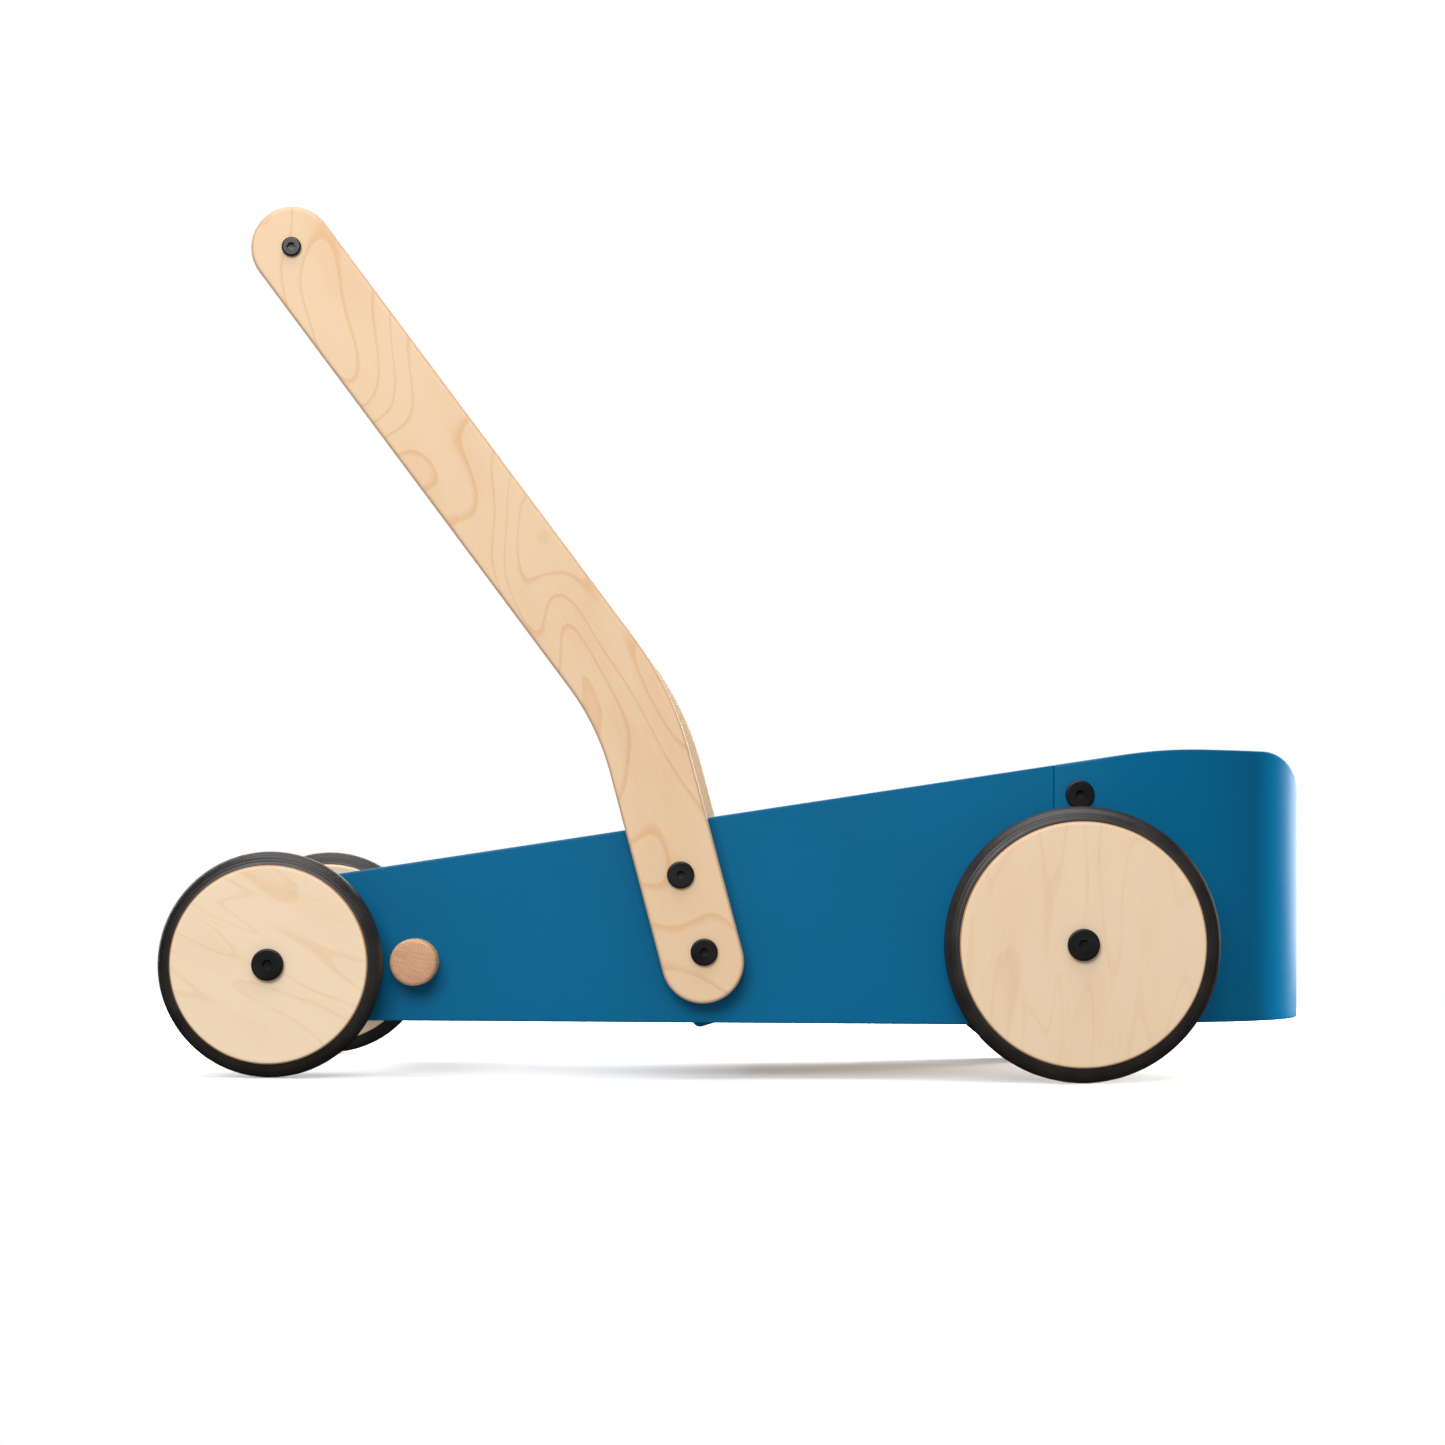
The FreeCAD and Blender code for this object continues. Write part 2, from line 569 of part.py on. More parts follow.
def arm_outline(sketch):
    """Two straight sides each way, a bend of two arcs about one centre and a half-round at each end."""
    half, bend = measure("arm_width") / 2, measure("arm_bend_radius")
    centre = Vector(measure("arm_bend_x"), measure("arm_bend_height"), 0)
    top = Vector(measure("arm_top_x"), measure("arm_top_height"), 0)
    foot = Vector(measure("arm_foot_x"), measure("arm_foot_height"), 0)
    runs = []
    for end, turn_sign in ((top, 1), (foot, -1)):
        gap = centre - end
        direction = rotated(gap, turn_sign * math.asin(bend / gap.Length)).normalize()
        outward = rotated(direction, turn_sign * math.pi / 2)
        tangent = end + direction * math.sqrt(gap.Length ** 2 - bend ** 2)
        runs.append((end, tangent, outward))
    (top, top_tangent, top_out), (foot, foot_tangent, foot_out) = runs

    def arc(middle, radius, start, stop):
        angles = [math.atan2(p.y - middle.y, p.x - middle.x) for p in (start, stop)]
        circle = Part.Circle(middle, UP, radius)
        return sketch.addGeometry(Part.ArcOfCircle(circle, angles[0], angles[1]), False)

    def line(start, stop):
        return sketch.addGeometry(Part.LineSegment(start, stop), False)

    outer_top = line(top + top_out * half, top_tangent + top_out * half)
    outer_bend = arc(centre, bend + half, foot_tangent + foot_out * half, top_tangent + top_out * half)
    outer_foot = line(foot_tangent + foot_out * half, foot + foot_out * half)
    foot_end = arc(foot, half, foot - foot_out * half, foot + foot_out * half)
    inner_foot = line(foot - foot_out * half, foot_tangent - foot_out * half)
    inner_bend = arc(centre, bend - half, foot_tangent - foot_out * half, top_tangent - top_out * half)
    inner_top = line(top_tangent - top_out * half, top - top_out * half)
    top_end = arc(top, half, top + top_out * half, top - top_out * half)
    joints = (
        (outer_top, 2, outer_bend, 2), (outer_bend, 1, outer_foot, 1), (outer_foot, 2, foot_end, 2),
        (foot_end, 1, inner_foot, 1), (inner_foot, 2, inner_bend, 1), (inner_bend, 2, inner_top, 1),
        (inner_top, 2, top_end, 2), (top_end, 1, outer_top, 1),
    )
    for joint in joints:
        sketch.addConstraint(Sketcher.Constraint("Tangent", *joint))
    pin(sketch, foot_end, 3, "arm_foot_x", "arm_foot_height")
    pin(sketch, top_end, 3, "arm_top_x", "arm_top_height")
    pin(sketch, outer_bend, 3, "arm_bend_x", "arm_bend_height")
    pin(sketch, inner_bend, 3, "arm_bend_x", "arm_bend_height")
    for curve, radius in ((foot_end, "arm_width / 2"), (top_end, "arm_width / 2"),
                          (outer_bend, "arm_bend_radius + arm_width / 2"),
                          (inner_bend, "arm_bend_radius - arm_width / 2")):
        index = sketch.addConstraint(Sketcher.Constraint("Radius", curve, measure(radius)))
        sketch.setExpression(f"Constraints[{index}]", bound(radius))


def make_arm(name, side):
    body = new_body(name)
    outline = new_sketch(body, "outline")
    arm_outline(outline)
    pad(body, outline, "arm_thickness", symmetric=True)
    dress(body, "Fillet", "arm_round", lies_at("Y", "arm_thickness / 2", "-arm_thickness / 2"))
    drill(body, "bolt_holes", (*ARM_BOLTS, BAR), "bolt_dia + 2 * hole_clearance", "arm_thickness * 2")
    place(body, y=f"{side} * {ARM_Y}")
    return body


def make_handle_bar():
    """The round bar between the arms, with a blind hole in each end for its insert."""
    body = new_body("handle_bar")
    section = new_sketch(body, "section")
    add_circle(section, *BAR, "bar_dia")
    pad(body, section, "body_width", symmetric=True)
    depth = "(bar_bolt_length - arm_thickness)"
    drill(body, "far_hole", [BAR], "bar_insert_dia", depth, lift=f"{depth} - body_width / 2", symmetric=False)
    drill(body, "near_hole", [BAR], "bar_insert_dia", depth, lift="body_width / 2", symmetric=False)
    place(body)
    return body


# ---------------------------------------------------------------------------------------------
# Wheels: a plywood disc, a round rubber tyre in its groove and a hub bush
# ---------------------------------------------------------------------------------------------
def make_wheel(axle, name, side):
    x, z = AXLES[axle]
    disc, seat = f"({axle}_wheel_dia / 2 - {axle}_tyre_proud)", f"({axle}_wheel_dia / 2 - tyre_section / 2)"
    face = WHEEL_HALF
    lip = f"sqrt(tyre_section * tyre_section / 4 - ({disc} - {seat}) * ({disc} - {seat}))"
    wheel = new_body(f"{axle}_wheel_disc_{name}")
    profile = new_sketch(wheel, "profile", "XY_Plane")
    add_outline(profile, (("bush_dia / 2", f"-{face}"), (disc, f"-{face}"), (disc, f"-{lip}"), (disc, lip),
                          (disc, face), ("bush_dia / 2", face)), arcs={2: (seat, "0", True)})
    turn(wheel, profile)
    rim = measure(disc)
    dress(wheel, "Fillet", "wheel_round",
          lambda edge: lies_at("Y", face, f"-{face}")(edge) and abs(edge.BoundBox.XMax - rim) < 0.01)
    tyre = new_body(f"{axle}_tyre_{name}")
    section = new_sketch(tyre, "section", "XY_Plane")
    add_circle(section, seat, "0", "tyre_section")
    turn(tyre, section)
    bush = tube(f"{axle}_hub_bush_{name}", "bush_dia", "axle_dia + 2 * axle_clearance", f"2 * {HUB_HALF}")
    for piece in (wheel, tyre, bush):
        place(piece, x, f"{side} * {WHEEL_Y}", z)
    return [wheel, tyre, bush]


# ---------------------------------------------------------------------------------------------
# Fasteners
# ---------------------------------------------------------------------------------------------
def make_wheel_fasteners():
    """Wheel bolts, the spacers behind the wheels and the inserts that the bolts screw into."""
    bolts, spacers, inserts = [], [], []
    spacer = "(wheel_gap - bush_proud - end_play)"
    length = f"({AXLE_SEAT} - {INNER} + axle_bolt_reach)"
    for axle, (x, z) in AXLES.items():
        for name, side in SIDES.items():
            mark = f"{axle}_{name}"
            piece = bolt(f"wheel_bolt_{mark}", "axle_dia", length,
                         "axle_head_dia", "axle_head_height", "axle_key")
            place(piece, x, f"{side} * {AXLE_SEAT}", z, face_outwards(side))
            bolts.append(piece)
            ring = tube(f"wheel_spacer_{mark}", "spacer_dia", "axle_dia", spacer)
            place(ring, x, f"{side} * (body_width / 2 + {spacer} / 2)", z)
            spacers.append(ring)
            insert = tube(f"wheel_insert_{mark}", "axle_insert_dia", "axle_dia", "block_thickness")
            place(insert, x, f"{side} * {BLOCK_Y}", z)
            inserts.append(insert)
    return [group("wheel_bolts", bolts), group("wheel_spacers", spacers), group("wheel_inserts", inserts)]


def make_bolts_and_inserts(kind, places, head, seat, length, insert, insert_length, insert_y):
    """The same bolt with its insert at each place of the side view, on both sides."""
    bolts, inserts = [], []
    for number, (x, z) in enumerate(places, start=1):
        for name, side in SIDES.items():
            mark = f"{name}_{number}"
            piece = bolt(f"{kind}_bolt_{mark}", "bolt_dia", length, head, "bolt_head_height", "bolt_key")
            place(piece, x, f"{side} * {seat}", z, face_outwards(side))
            bolts.append(piece)
            sleeve = tube(f"{kind}_insert_{mark}", insert, "bolt_dia", insert_length)
            place(sleeve, x, f"{side} * {insert_y}", z)
            inserts.append(sleeve)
    return [group(f"{kind}_bolts", bolts), group(f"{kind}_inserts", inserts)]


# ---------------------------------------------------------------------------------------------
# The whole truck
# ---------------------------------------------------------------------------------------------
def make_truck():
    nodes = [make_nose_panel(), make_floor(), make_tail_board(), make_cross_rod(), make_handle_bar()]
    for name, side in SIDES.items():
        nodes.append(make_side_panel(f"side_panel_{name}", side))
        nodes.append(make_rear_block(f"rear_axle_block_{name}", side))
        nodes.append(make_front_block(f"front_axle_block_{name}", side))
        nodes.append(make_backing(f"arm_backing_{name}", side))
        nodes.append(make_arm(f"handle_arm_{name}", side))
        nodes.append(make_floor_rail(f"floor_rail_{name}", side))
        for axle in AXLES:
            nodes.extend(make_wheel(axle, name, side))
    nodes.extend(make_wheel_fasteners())
    outside, bolt_reach = "body_width / 2", "backing_thickness - 1"
    nodes.extend(make_bolts_and_inserts(
        "arm", ARM_BOLTS, "arm_bolt_head", f"({outside} + arm_thickness)",
        f"(arm_thickness + panel_thickness + {bolt_reach})", "insert_dia", "backing_thickness", BACKING_Y))
    nodes.extend(make_bolts_and_inserts(
        "nose", NOSE_BOLTS, "nose_bolt_head", f"({outside})",
        "(panel_thickness + block_thickness - 4)", "insert_dia", "block_thickness", BLOCK_Y))
    grip = "(bar_bolt_length - arm_thickness)"
    nodes.extend(make_bolts_and_inserts(
        "bar", [BAR], "bar_bolt_head", f"({outside} + arm_thickness)",
        "bar_bolt_length", "bar_insert_dia", grip, f"({outside} - {grip} / 2)"))
    screws = [make_screw(f"floor_screw_{number}", x, y) for number, (x, y) in enumerate(SCREWS, start=1)]
    nodes.append(group("floor_screws", screws))
    return nodes


def check(nodes):
    """Stop if any object failed or any part has no sound shape."""
    for item in doc.Objects:
        if "Invalid" in item.State or "Error" in item.State:
            raise RuntimeError(f"{item.Name} failed: {item.State}")
    for node in nodes:
        if node.Shape.isNull() or not node.Shape.isValid():
            raise RuntimeError(f"{node.Label} has no sound shape")


def main():
    nodes = make_truck()
    doc.recompute()
    check(nodes)
    os.makedirs("parts", exist_ok=True)
    for node in nodes:
        node.Shape.exportStep(f"parts/{node.Label}.step")
    print(f"{len(nodes)} parts written")


main()
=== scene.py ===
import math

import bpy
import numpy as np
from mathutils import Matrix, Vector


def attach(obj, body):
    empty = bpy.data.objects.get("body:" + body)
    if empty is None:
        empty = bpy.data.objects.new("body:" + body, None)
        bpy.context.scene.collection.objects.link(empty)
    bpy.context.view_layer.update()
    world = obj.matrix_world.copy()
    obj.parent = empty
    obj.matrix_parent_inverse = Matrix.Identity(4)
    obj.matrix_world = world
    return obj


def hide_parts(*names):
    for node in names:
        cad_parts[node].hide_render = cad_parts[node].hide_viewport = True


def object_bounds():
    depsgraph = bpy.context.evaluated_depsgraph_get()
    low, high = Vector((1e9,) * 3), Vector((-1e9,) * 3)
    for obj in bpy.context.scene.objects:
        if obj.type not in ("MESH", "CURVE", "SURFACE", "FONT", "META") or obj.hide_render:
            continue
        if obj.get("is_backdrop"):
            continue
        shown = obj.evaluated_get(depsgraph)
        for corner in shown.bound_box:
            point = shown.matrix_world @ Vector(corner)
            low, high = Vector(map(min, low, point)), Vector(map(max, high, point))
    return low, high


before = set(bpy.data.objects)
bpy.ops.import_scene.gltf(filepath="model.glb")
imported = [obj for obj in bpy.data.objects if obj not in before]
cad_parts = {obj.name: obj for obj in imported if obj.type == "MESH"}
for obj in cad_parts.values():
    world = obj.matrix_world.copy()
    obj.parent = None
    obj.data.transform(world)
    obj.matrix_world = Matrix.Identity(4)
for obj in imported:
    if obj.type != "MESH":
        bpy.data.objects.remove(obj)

# %% [markdown]
# A push along truck: a child pushes it by a round bar between two bent plywood arms, and carries
# blocks in the box behind its bent nose. Here every part that shows gets a surface and a finish of
# its own, round the fixed CAD frame. Lengths below are in millimetres and in truck coordinates:
# x counts forward from the rear axle, y across from the middle, z up from the ground.

cad_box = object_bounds()
MM = 0.001
MIDDLE = 251.2  # truck x of the frame's origin, half way along the truck
SIDES = {"right": -1, "left": 1}
print("CAD box in metres:", [round(v, 4) for corner in cad_box for v in corner])


# %% [markdown]
# Sizes that more than one piece needs come first: half the width of the body, the planes on both
# sides of a handle arm, and where the wheels and the handle bar sit, each as a pair of x and z.

# %% Shared sizes
HALF_WIDTH = 121.0
ARM_INNER = HALF_WIDTH
ARM_OUTER = ARM_INNER + 15.0
WHEEL_Y = 140.0
DISC_HALF = 10.0
REAR_HUB = (0.0, 60.2)
FRONT_HUB = (432.5, 73.5)
BAR_AT = (7.2, 445.2)
print("wheelbase", FRONT_HUB[0] - REAR_HUB[0], "mm, width over the wheels", 2 * (WHEEL_Y + DISC_HALF), "mm")


# %% [markdown]
# Every surface below is a grid of points given by a formula, so one function can turn any grid into
# a clean mesh. Where a grid closes on itself, or where a whole row meets at a pole, its points fall
# together: they are merged, so that no seam is left open. The sign of the enclosed volume tells
# whether the faces look outwards.

# %% From points to a closed mesh
SHARP = math.radians(35)


def grid_faces(rows, columns, rows_close=False):
    """Quads between neighbours of a grid numbered row by row; its columns close into a ring."""
    row, column = np.meshgrid(np.arange(rows if rows_close else rows - 1), np.arange(columns), indexing="ij")
    row_after, column_after = (row + 1) % rows, (column + 1) % columns
    corners = (row * columns + column, row * columns + column_after,
               row_after * columns + column_after, row_after * columns + column)
    return np.stack(corners, axis=-1).reshape(-1, 4).tolist()


def merged(points, faces):
    """The points without repeats, and the faces without the corners and faces that vanish."""
    unique, where = np.unique(np.round(points, 5), axis=0, return_inverse=True)
    where = where.ravel().tolist()
    kept = []
    for face in faces:
        corners = []
        for index in face:
            if where[index] not in corners:
                corners.append(where[index])
        if len(corners) > 2:
            kept.append(corners)
    return unique, kept


def enclosed(points, faces):
    """Signed volume: the sum of a . (b x c) / 6 over a fan of triangles in every face."""
    triangles = np.array([(f[0], f[k], f[k + 1]) for f in faces for k in range(1, len(f) - 1)])
    a, b, c = (points[triangles[:, k]] for k in range(3))
    return float(np.einsum("ij,ij->i", a, np.cross(b, c)).sum() / 6)


def solid(name, shapes, finish, body, nodes):
    """One object from (points, faces) shapes in truck millimetres, in place of the CAD nodes."""
    all_points, all_faces, count = [], [], 0
    for points, faces in shapes:
        points, faces = merged(points, faces)
        if enclosed(points, faces) < 0:
            faces = [face[::-1] for face in faces]
        all_points.append(points)
        all_faces.extend([[index + count for index in face] for face in faces])
        count += len(points)
    points = (np.concatenate(all_points) - (MIDDLE, 0, 0)) * MM
    mesh = bpy.data.meshes.new(name)
    mesh.from_pydata(points.tolist(), [], all_faces)
    mesh.shade_smooth()
    mesh.set_sharp_from_angle(angle=SHARP)
    mesh.materials.append(finish)
    made = bpy.data.objects.new(name, mesh)
    bpy.context.scene.collection.objects.link(made)
    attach(made, body)
    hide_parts(*nodes)
    print(f"{name}: {len(all_faces)} faces")


# %% [markdown]
# Round parts, such as wheels, rods and bolt heads, are turned on a lathe: a profile swept once round
# an axis. Here every axis runs across the truck. A hexagon socket is the same sweep with its radius
# pulled in between the six corners.

# %% Surfaces turned about an axis across the truck
def arc(centre, radius, start, stop, steps=6):
    """Points centre + radius (cos t, sin t), with t from start to stop in degrees."""
    t = np.radians(np.linspace(start, stop, steps + 1))
    return [(centre[0] + radius * c, centre[1] + radius * s) for c, s in zip(np.cos(t), np.sin(t))]


def turned(profile, centre, side=1, around=216, closed=False, corners=None):
    """P(i, a) = centre + (r cos a, side h, r sin a) for each profile point (r, h).

    Where corners[i] is 1 the ring is a hexagon: r is multiplied by cos 30 / cos(a mod 60 - 30).
    """
    r, h = np.array(profile, float).T
    a = np.arange(around) * 2 * math.pi / around
    hexagon = math.cos(math.pi / 6) / np.cos(np.mod(a, math.pi / 3) - math.pi / 6)
    share = np.zeros(len(r)) if corners is None else np.array(corners, float)
    reach = r[:, None] * (1 - share[:, None] + share[:, None] * hexagon)
    points = np.stack([centre[0] + reach * np.cos(a),
                       centre[1] + side * np.repeat(h[:, None], around, axis=1),
                       centre[2] + reach * np.sin(a)], axis=-1)
    return points.reshape(-1, 3), grid_faces(len(r), around, closed)


# %% [markdown]
# Boards are sawn to an outline and their edges are rounded with a router bit. The surface follows
# that: the outline is one direction of the grid, and the round of the edge, from one face over to
# the other, is the second. The two flat faces close it.

# %% Boards with rounded edges
def outward(outline):
    """Mitred normals of a closed anticlockwise outline: (n1 + n2) / (1 + n1 . n2)."""
    along = np.roll(outline, -1, axis=0) - outline
    along /= np.linalg.norm(along, axis=1)[:, None]
    after = np.stack([along[:, 1], -along[:, 0]], axis=1)
    before = np.roll(after, 1, axis=0)
    return (before + after) / (1 + np.einsum("ij,ij->i", before, after))[:, None]


def board(outline, low, high, rounding, steps=6):
    """P(k, s) = outline(s) - inset(k) normal(s) in x and z, with y = depth(k).

    inset = rounding (1 - sin t) and depth = low + rounding (1 - cos t) at the first edge, with t
    from 0 to 90 degrees, and the mirror image at the second. One ring more on each face, 1.5
    roundings in from the outline, keeps the flat of the face flat when it is shaded.
    """
    outline = np.array(outline, float)
    x, z = outline.T
    if np.sum(x * np.roll(z, -1) - np.roll(x, -1) * z) < 0:
        outline = outline[::-1]
    normal = outward(outline)
    t = np.radians(np.linspace(0, 90, steps + 1))
    inset = np.concatenate([[rounding * 1.5], rounding * (1 - np.sin(t))])
    depth = np.concatenate([[0], rounding * (1 - np.cos(t))])
    rows = list(zip(inset, low + depth)) + list(zip(inset[::-1], high - depth[::-1]))
    points = [np.column_stack([outline[:, 0] - i * normal[:, 0], np.full(len(outline), y),
                               outline[:, 1] - i * normal[:, 1]]) for i, y in rows]
    count = len(outline)
    faces = grid_faces(len(rows), count)
    faces.append(list(range(count)))
    faces.append(list(range((len(rows) - 1) * count, len(rows) * count))[::-1])
    return np.concatenate(points), faces


# %% [markdown]
# All finishes are procedural, and they read Object coordinates: metres in the part's own frame, so
# a texture keeps its real size and turns with its wheel. One function adds a node, gives it its
# settings, and fills or links its inputs. An input is told by its name, or by its place in the
# node's list where several share a name, as in a maths or a mix node. Colours are written as they
# look on a screen and turned into the linear values that light is reckoned in.

# %% Nodes and colours
def rgb(code):
    """Linear colour of a screen colour such as #ff8000."""
    parts = [int(code[k:k + 2], 16) / 255 for k in (1, 3, 5)]
    return [c / 12.92 if c <= 0.04045 else ((c + 0.055) / 1.055) ** 2.4 for c in parts] + [1]


def add(tree, kind, inputs, out=0, **settings):
    """Add a node, fill or link its inputs and give back one of its outputs."""
    made = tree.nodes.new(kind)
    for key, value in settings.items():
        setattr(made, key, value)
    for key, value in inputs.items():
        if isinstance(value, bpy.types.NodeSocket):
            tree.links.new(value, made.inputs[key])
        else:
            made.inputs[key].default_value = value
    return made.outputs[out]


def new_finish(name, roughness, specular=0.5, metallic=0.0):
    """A material with its node tree and its shader, plain values set on the shader itself."""
    finish = bpy.data.materials.new(name)
    finish.use_nodes = True
    shader = finish.node_tree.nodes["Principled BSDF"]
    shader.inputs["Roughness"].default_value = roughness
    shader.inputs["Specular IOR Level"].default_value = specular
    shader.inputs["Metallic"].default_value = metallic
    return finish, finish.node_tree, shader


def join(tree, shader, **sockets):
    """Link sockets to the shader's inputs; an underscore in a name stands for a space."""
    for key, socket in sockets.items():
        tree.links.new(socket, shader.inputs[key.replace("_", " ")])


# %% [markdown]
# Birch plywood is peeled from a turning log, so its face shows broad closed figures: each thin line
# is a growth ring that the knife crossed at a shallow angle. A stretched noise field stands for the
# height of the rings, and its contour lines are the figure. Finer noises give the fibres and short
# brown flecks of birch.

# %% The figure on a face of birch plywood
def stretched(tree, place, along, across, detail, distortion=0.0):
    """Noise whose grains are about along mm long and across mm thick."""
    scale = (1 / (along * MM), 1 / (across * MM), 1 / (across * MM))
    fitted = add(tree, "ShaderNodeVectorMath", {0: place, 1: scale}, operation="MULTIPLY")
    settings = {"Vector": fitted, "Scale": 1.0, "Detail": detail, "Roughness": 0.5, "Distortion": distortion}
    return add(tree, "ShaderNodeTexNoise", settings)


def birch_figure(tree, place, fibre, figure):
    """How dark the face is, from 0 to 1: ring lines + fibres + broad clouds + flecks.

    A ring darkens over the last quarter of its width and then ends sharply.
    """
    length, breadth, rings, depth = figure
    height = stretched(tree, place, length, breadth, 1.2, 0.25)
    counted = add(tree, "ShaderNodeMath", {0: height, 1: rings}, operation="MULTIPLY")
    phase = add(tree, "ShaderNodeMath", {0: counted}, operation="FRACT")
    rise = add(tree, "ShaderNodeMapRange", {0: phase, 1: 0.74, 2: 0.96}, interpolation_type="SMOOTHERSTEP")
    fall = add(tree, "ShaderNodeMapRange", {0: phase, 1: 1.0, 2: 0.955}, interpolation_type="SMOOTHSTEP")
    line = add(tree, "ShaderNodeMath", {0: rise, 1: fall}, operation="MULTIPLY")
    cloud = stretched(tree, place, 90, 24, 2.0)
    short = stretched(tree, place, 3.5, 0.45, 1.0)
    fleck = add(tree, "ShaderNodeMapRange", {0: short, 1: 0.70, 2: 0.78})
    fine = add(tree, "ShaderNodeMapRange", {0: fibre, 1: 0.3, 2: 0.7, 3: -0.10, 4: 0.12})
    broad = add(tree, "ShaderNodeMapRange", {0: cloud, 1: 0.3, 2: 0.7, 3: -0.14, 4: 0.16})
    drawn = add(tree, "ShaderNodeMath", {0: line, 1: depth, 2: fine}, operation="MULTIPLY_ADD")
    toned = add(tree, "ShaderNodeMath", {0: drawn, 1: broad}, operation="ADD")
    settings = {"operation": "MULTIPLY_ADD", "use_clamp": True}
    return add(tree, "ShaderNodeMath", {0: fleck, 1: 0.22, 2: toned}, **settings)


# %% [markdown]
# Where a surface turns away from the face the plies show: light ones whose fibres run along the
# edge, and darker ones cut across, with a speckled end grain.

# %% The plies on an edge
PLY = 1.36


def birch_plies(tree, here, fibre, axis, first):
    """How dark the edge is: 1 in every second ply, counted along axis from first mm."""
    level = add(tree, "ShaderNodeVectorMath", {0: here, 1: axis}, "Value", operation="DOT_PRODUCT")
    far = add(tree, "ShaderNodeMath", {0: level}, operation="ABSOLUTE")
    depth_in = add(tree, "ShaderNodeMath", {0: far, 1: first * MM}, operation="SUBTRACT")
    pairs = add(tree, "ShaderNodeMath", {0: depth_in, 1: 2 * PLY * MM}, operation="DIVIDE")
    turn = add(tree, "ShaderNodeMath", {0: pairs, 1: 1.0}, operation="PINGPONG")
    cross = add(tree, "ShaderNodeMapRange", {0: turn, 1: 0.44, 2: 0.56}, interpolation_type="SMOOTHSTEP")
    speck = add(tree, "ShaderNodeMapRange", {0: fibre, 1: 0.35, 2: 0.65, 3: 0.75, 4: 1.0})
    return add(tree, "ShaderNodeMath", {0: cross, 1: speck}, operation="MULTIPLY")


# %% [markdown]
# The board is sanded and has a clear matt lacquer, which fills the grain and leaves a soft sheen.
# The arms, the two sizes of wheel and the floor are sawn from different sheets, so each has a
# figure of its own.

# %% Birch plywood
LIGHT_PLY = "#eccca6"


def birch_ply(name, grain, centre, figure, axis=(0, 1, 0), first=0.0,
              face="#ebcba5", ring="#d6a777", cut_ply_and_highlight="#b98864"):
    """grain: its angle above x; figure: (length, breadth in mm, rings, depth); first: start of the plies."""
    finish, tree, shader = new_finish(name, 0.46, 0.4)
    here = add(tree, "ShaderNodeTexCoord", {}, "Object")
    facing = add(tree, "ShaderNodeTexCoord", {}, "Normal")
    origin = ((centre[0] - MIDDLE) * MM, 0, centre[1] * MM)
    moved = add(tree, "ShaderNodeVectorMath", {0: here, 1: origin}, operation="SUBTRACT")
    laid = add(tree, "ShaderNodeMapping", {"Vector": moved, "Rotation": (0, math.radians(grain), 0)})
    fibre = stretched(tree, laid, 14, 0.5, 3.0)
    marked = birch_figure(tree, laid, fibre, figure)
    surface = add(tree, "ShaderNodeMix", {0: marked, 6: rgb(face), 7: rgb(ring)}, 2, data_type="RGBA")
    cut = birch_plies(tree, here, fibre, axis, first)
    # The cross plies' colour can be made paler to paint a highlight on the rounded edges, as on the arms.
    edge = add(tree, "ShaderNodeMix", {0: cut, 6: rgb(LIGHT_PLY), 7: rgb(cut_ply_and_highlight)}, 2, data_type="RGBA")
    away = add(tree, "ShaderNodeVectorMath", {0: facing, 1: axis}, "Value", operation="DOT_PRODUCT")
    flat = add(tree, "ShaderNodeMath", {0: away}, operation="ABSOLUTE")
    mask = add(tree, "ShaderNodeMapRange", {0: flat, 1: 0.80, 2: 0.97}, interpolation_type="SMOOTHSTEP")
    colour = add(tree, "ShaderNodeMix", {0: mask, 6: edge, 7: surface}, 2, data_type="RGBA")
    relief = add(tree, "ShaderNodeBump", {"Strength": 0.25, "Distance": 0.00012, "Height": fibre})
    join(tree, shader, Base_Color=colour, Normal=relief)
    return finish


DISC_INNER = WHEEL_Y - DISC_HALF
# The arms' cross plies are paler than the wheels': the plies' own colour plus a painted highlight along the
# arms' rounded edges.
birch_arm = birch_ply("birch_plywood_arms", -66, (120, 300), (150, 72, 13, 0.42), first=ARM_INNER,
                      face="#e6c5a0", ring="#d6a067", cut_ply_and_highlight="#d0a985")
birch_rear = birch_ply("birch_plywood_rear_wheels", -27, REAR_HUB, (170, 26, 8, 0.24), first=DISC_INNER,
                       face="#f0d7b7", ring="#e0b27c")
birch_front = birch_ply("birch_plywood_front_wheels", 88, FRONT_HUB, (210, 26, 8, 0.20), first=DISC_INNER,
                        face="#ebcfae", ring="#d9b083")
birch_floor = birch_ply("birch_plywood_floor", 0, (300, 52), (170, 40, 14, 0.5), axis=(0, 0, 1), first=43)
print("birch finishes:", birch_arm.name, birch_rear.name, birch_front.name, birch_floor.name)


# %% [markdown]
# The box and nose are birch plywood too, but sprayed with a satin blue lacquer. It hides the colour
# of the wood and lets its grain print through as very low ridges. A fine orange-peel ripple from
# the spray gun breaks up reflections.

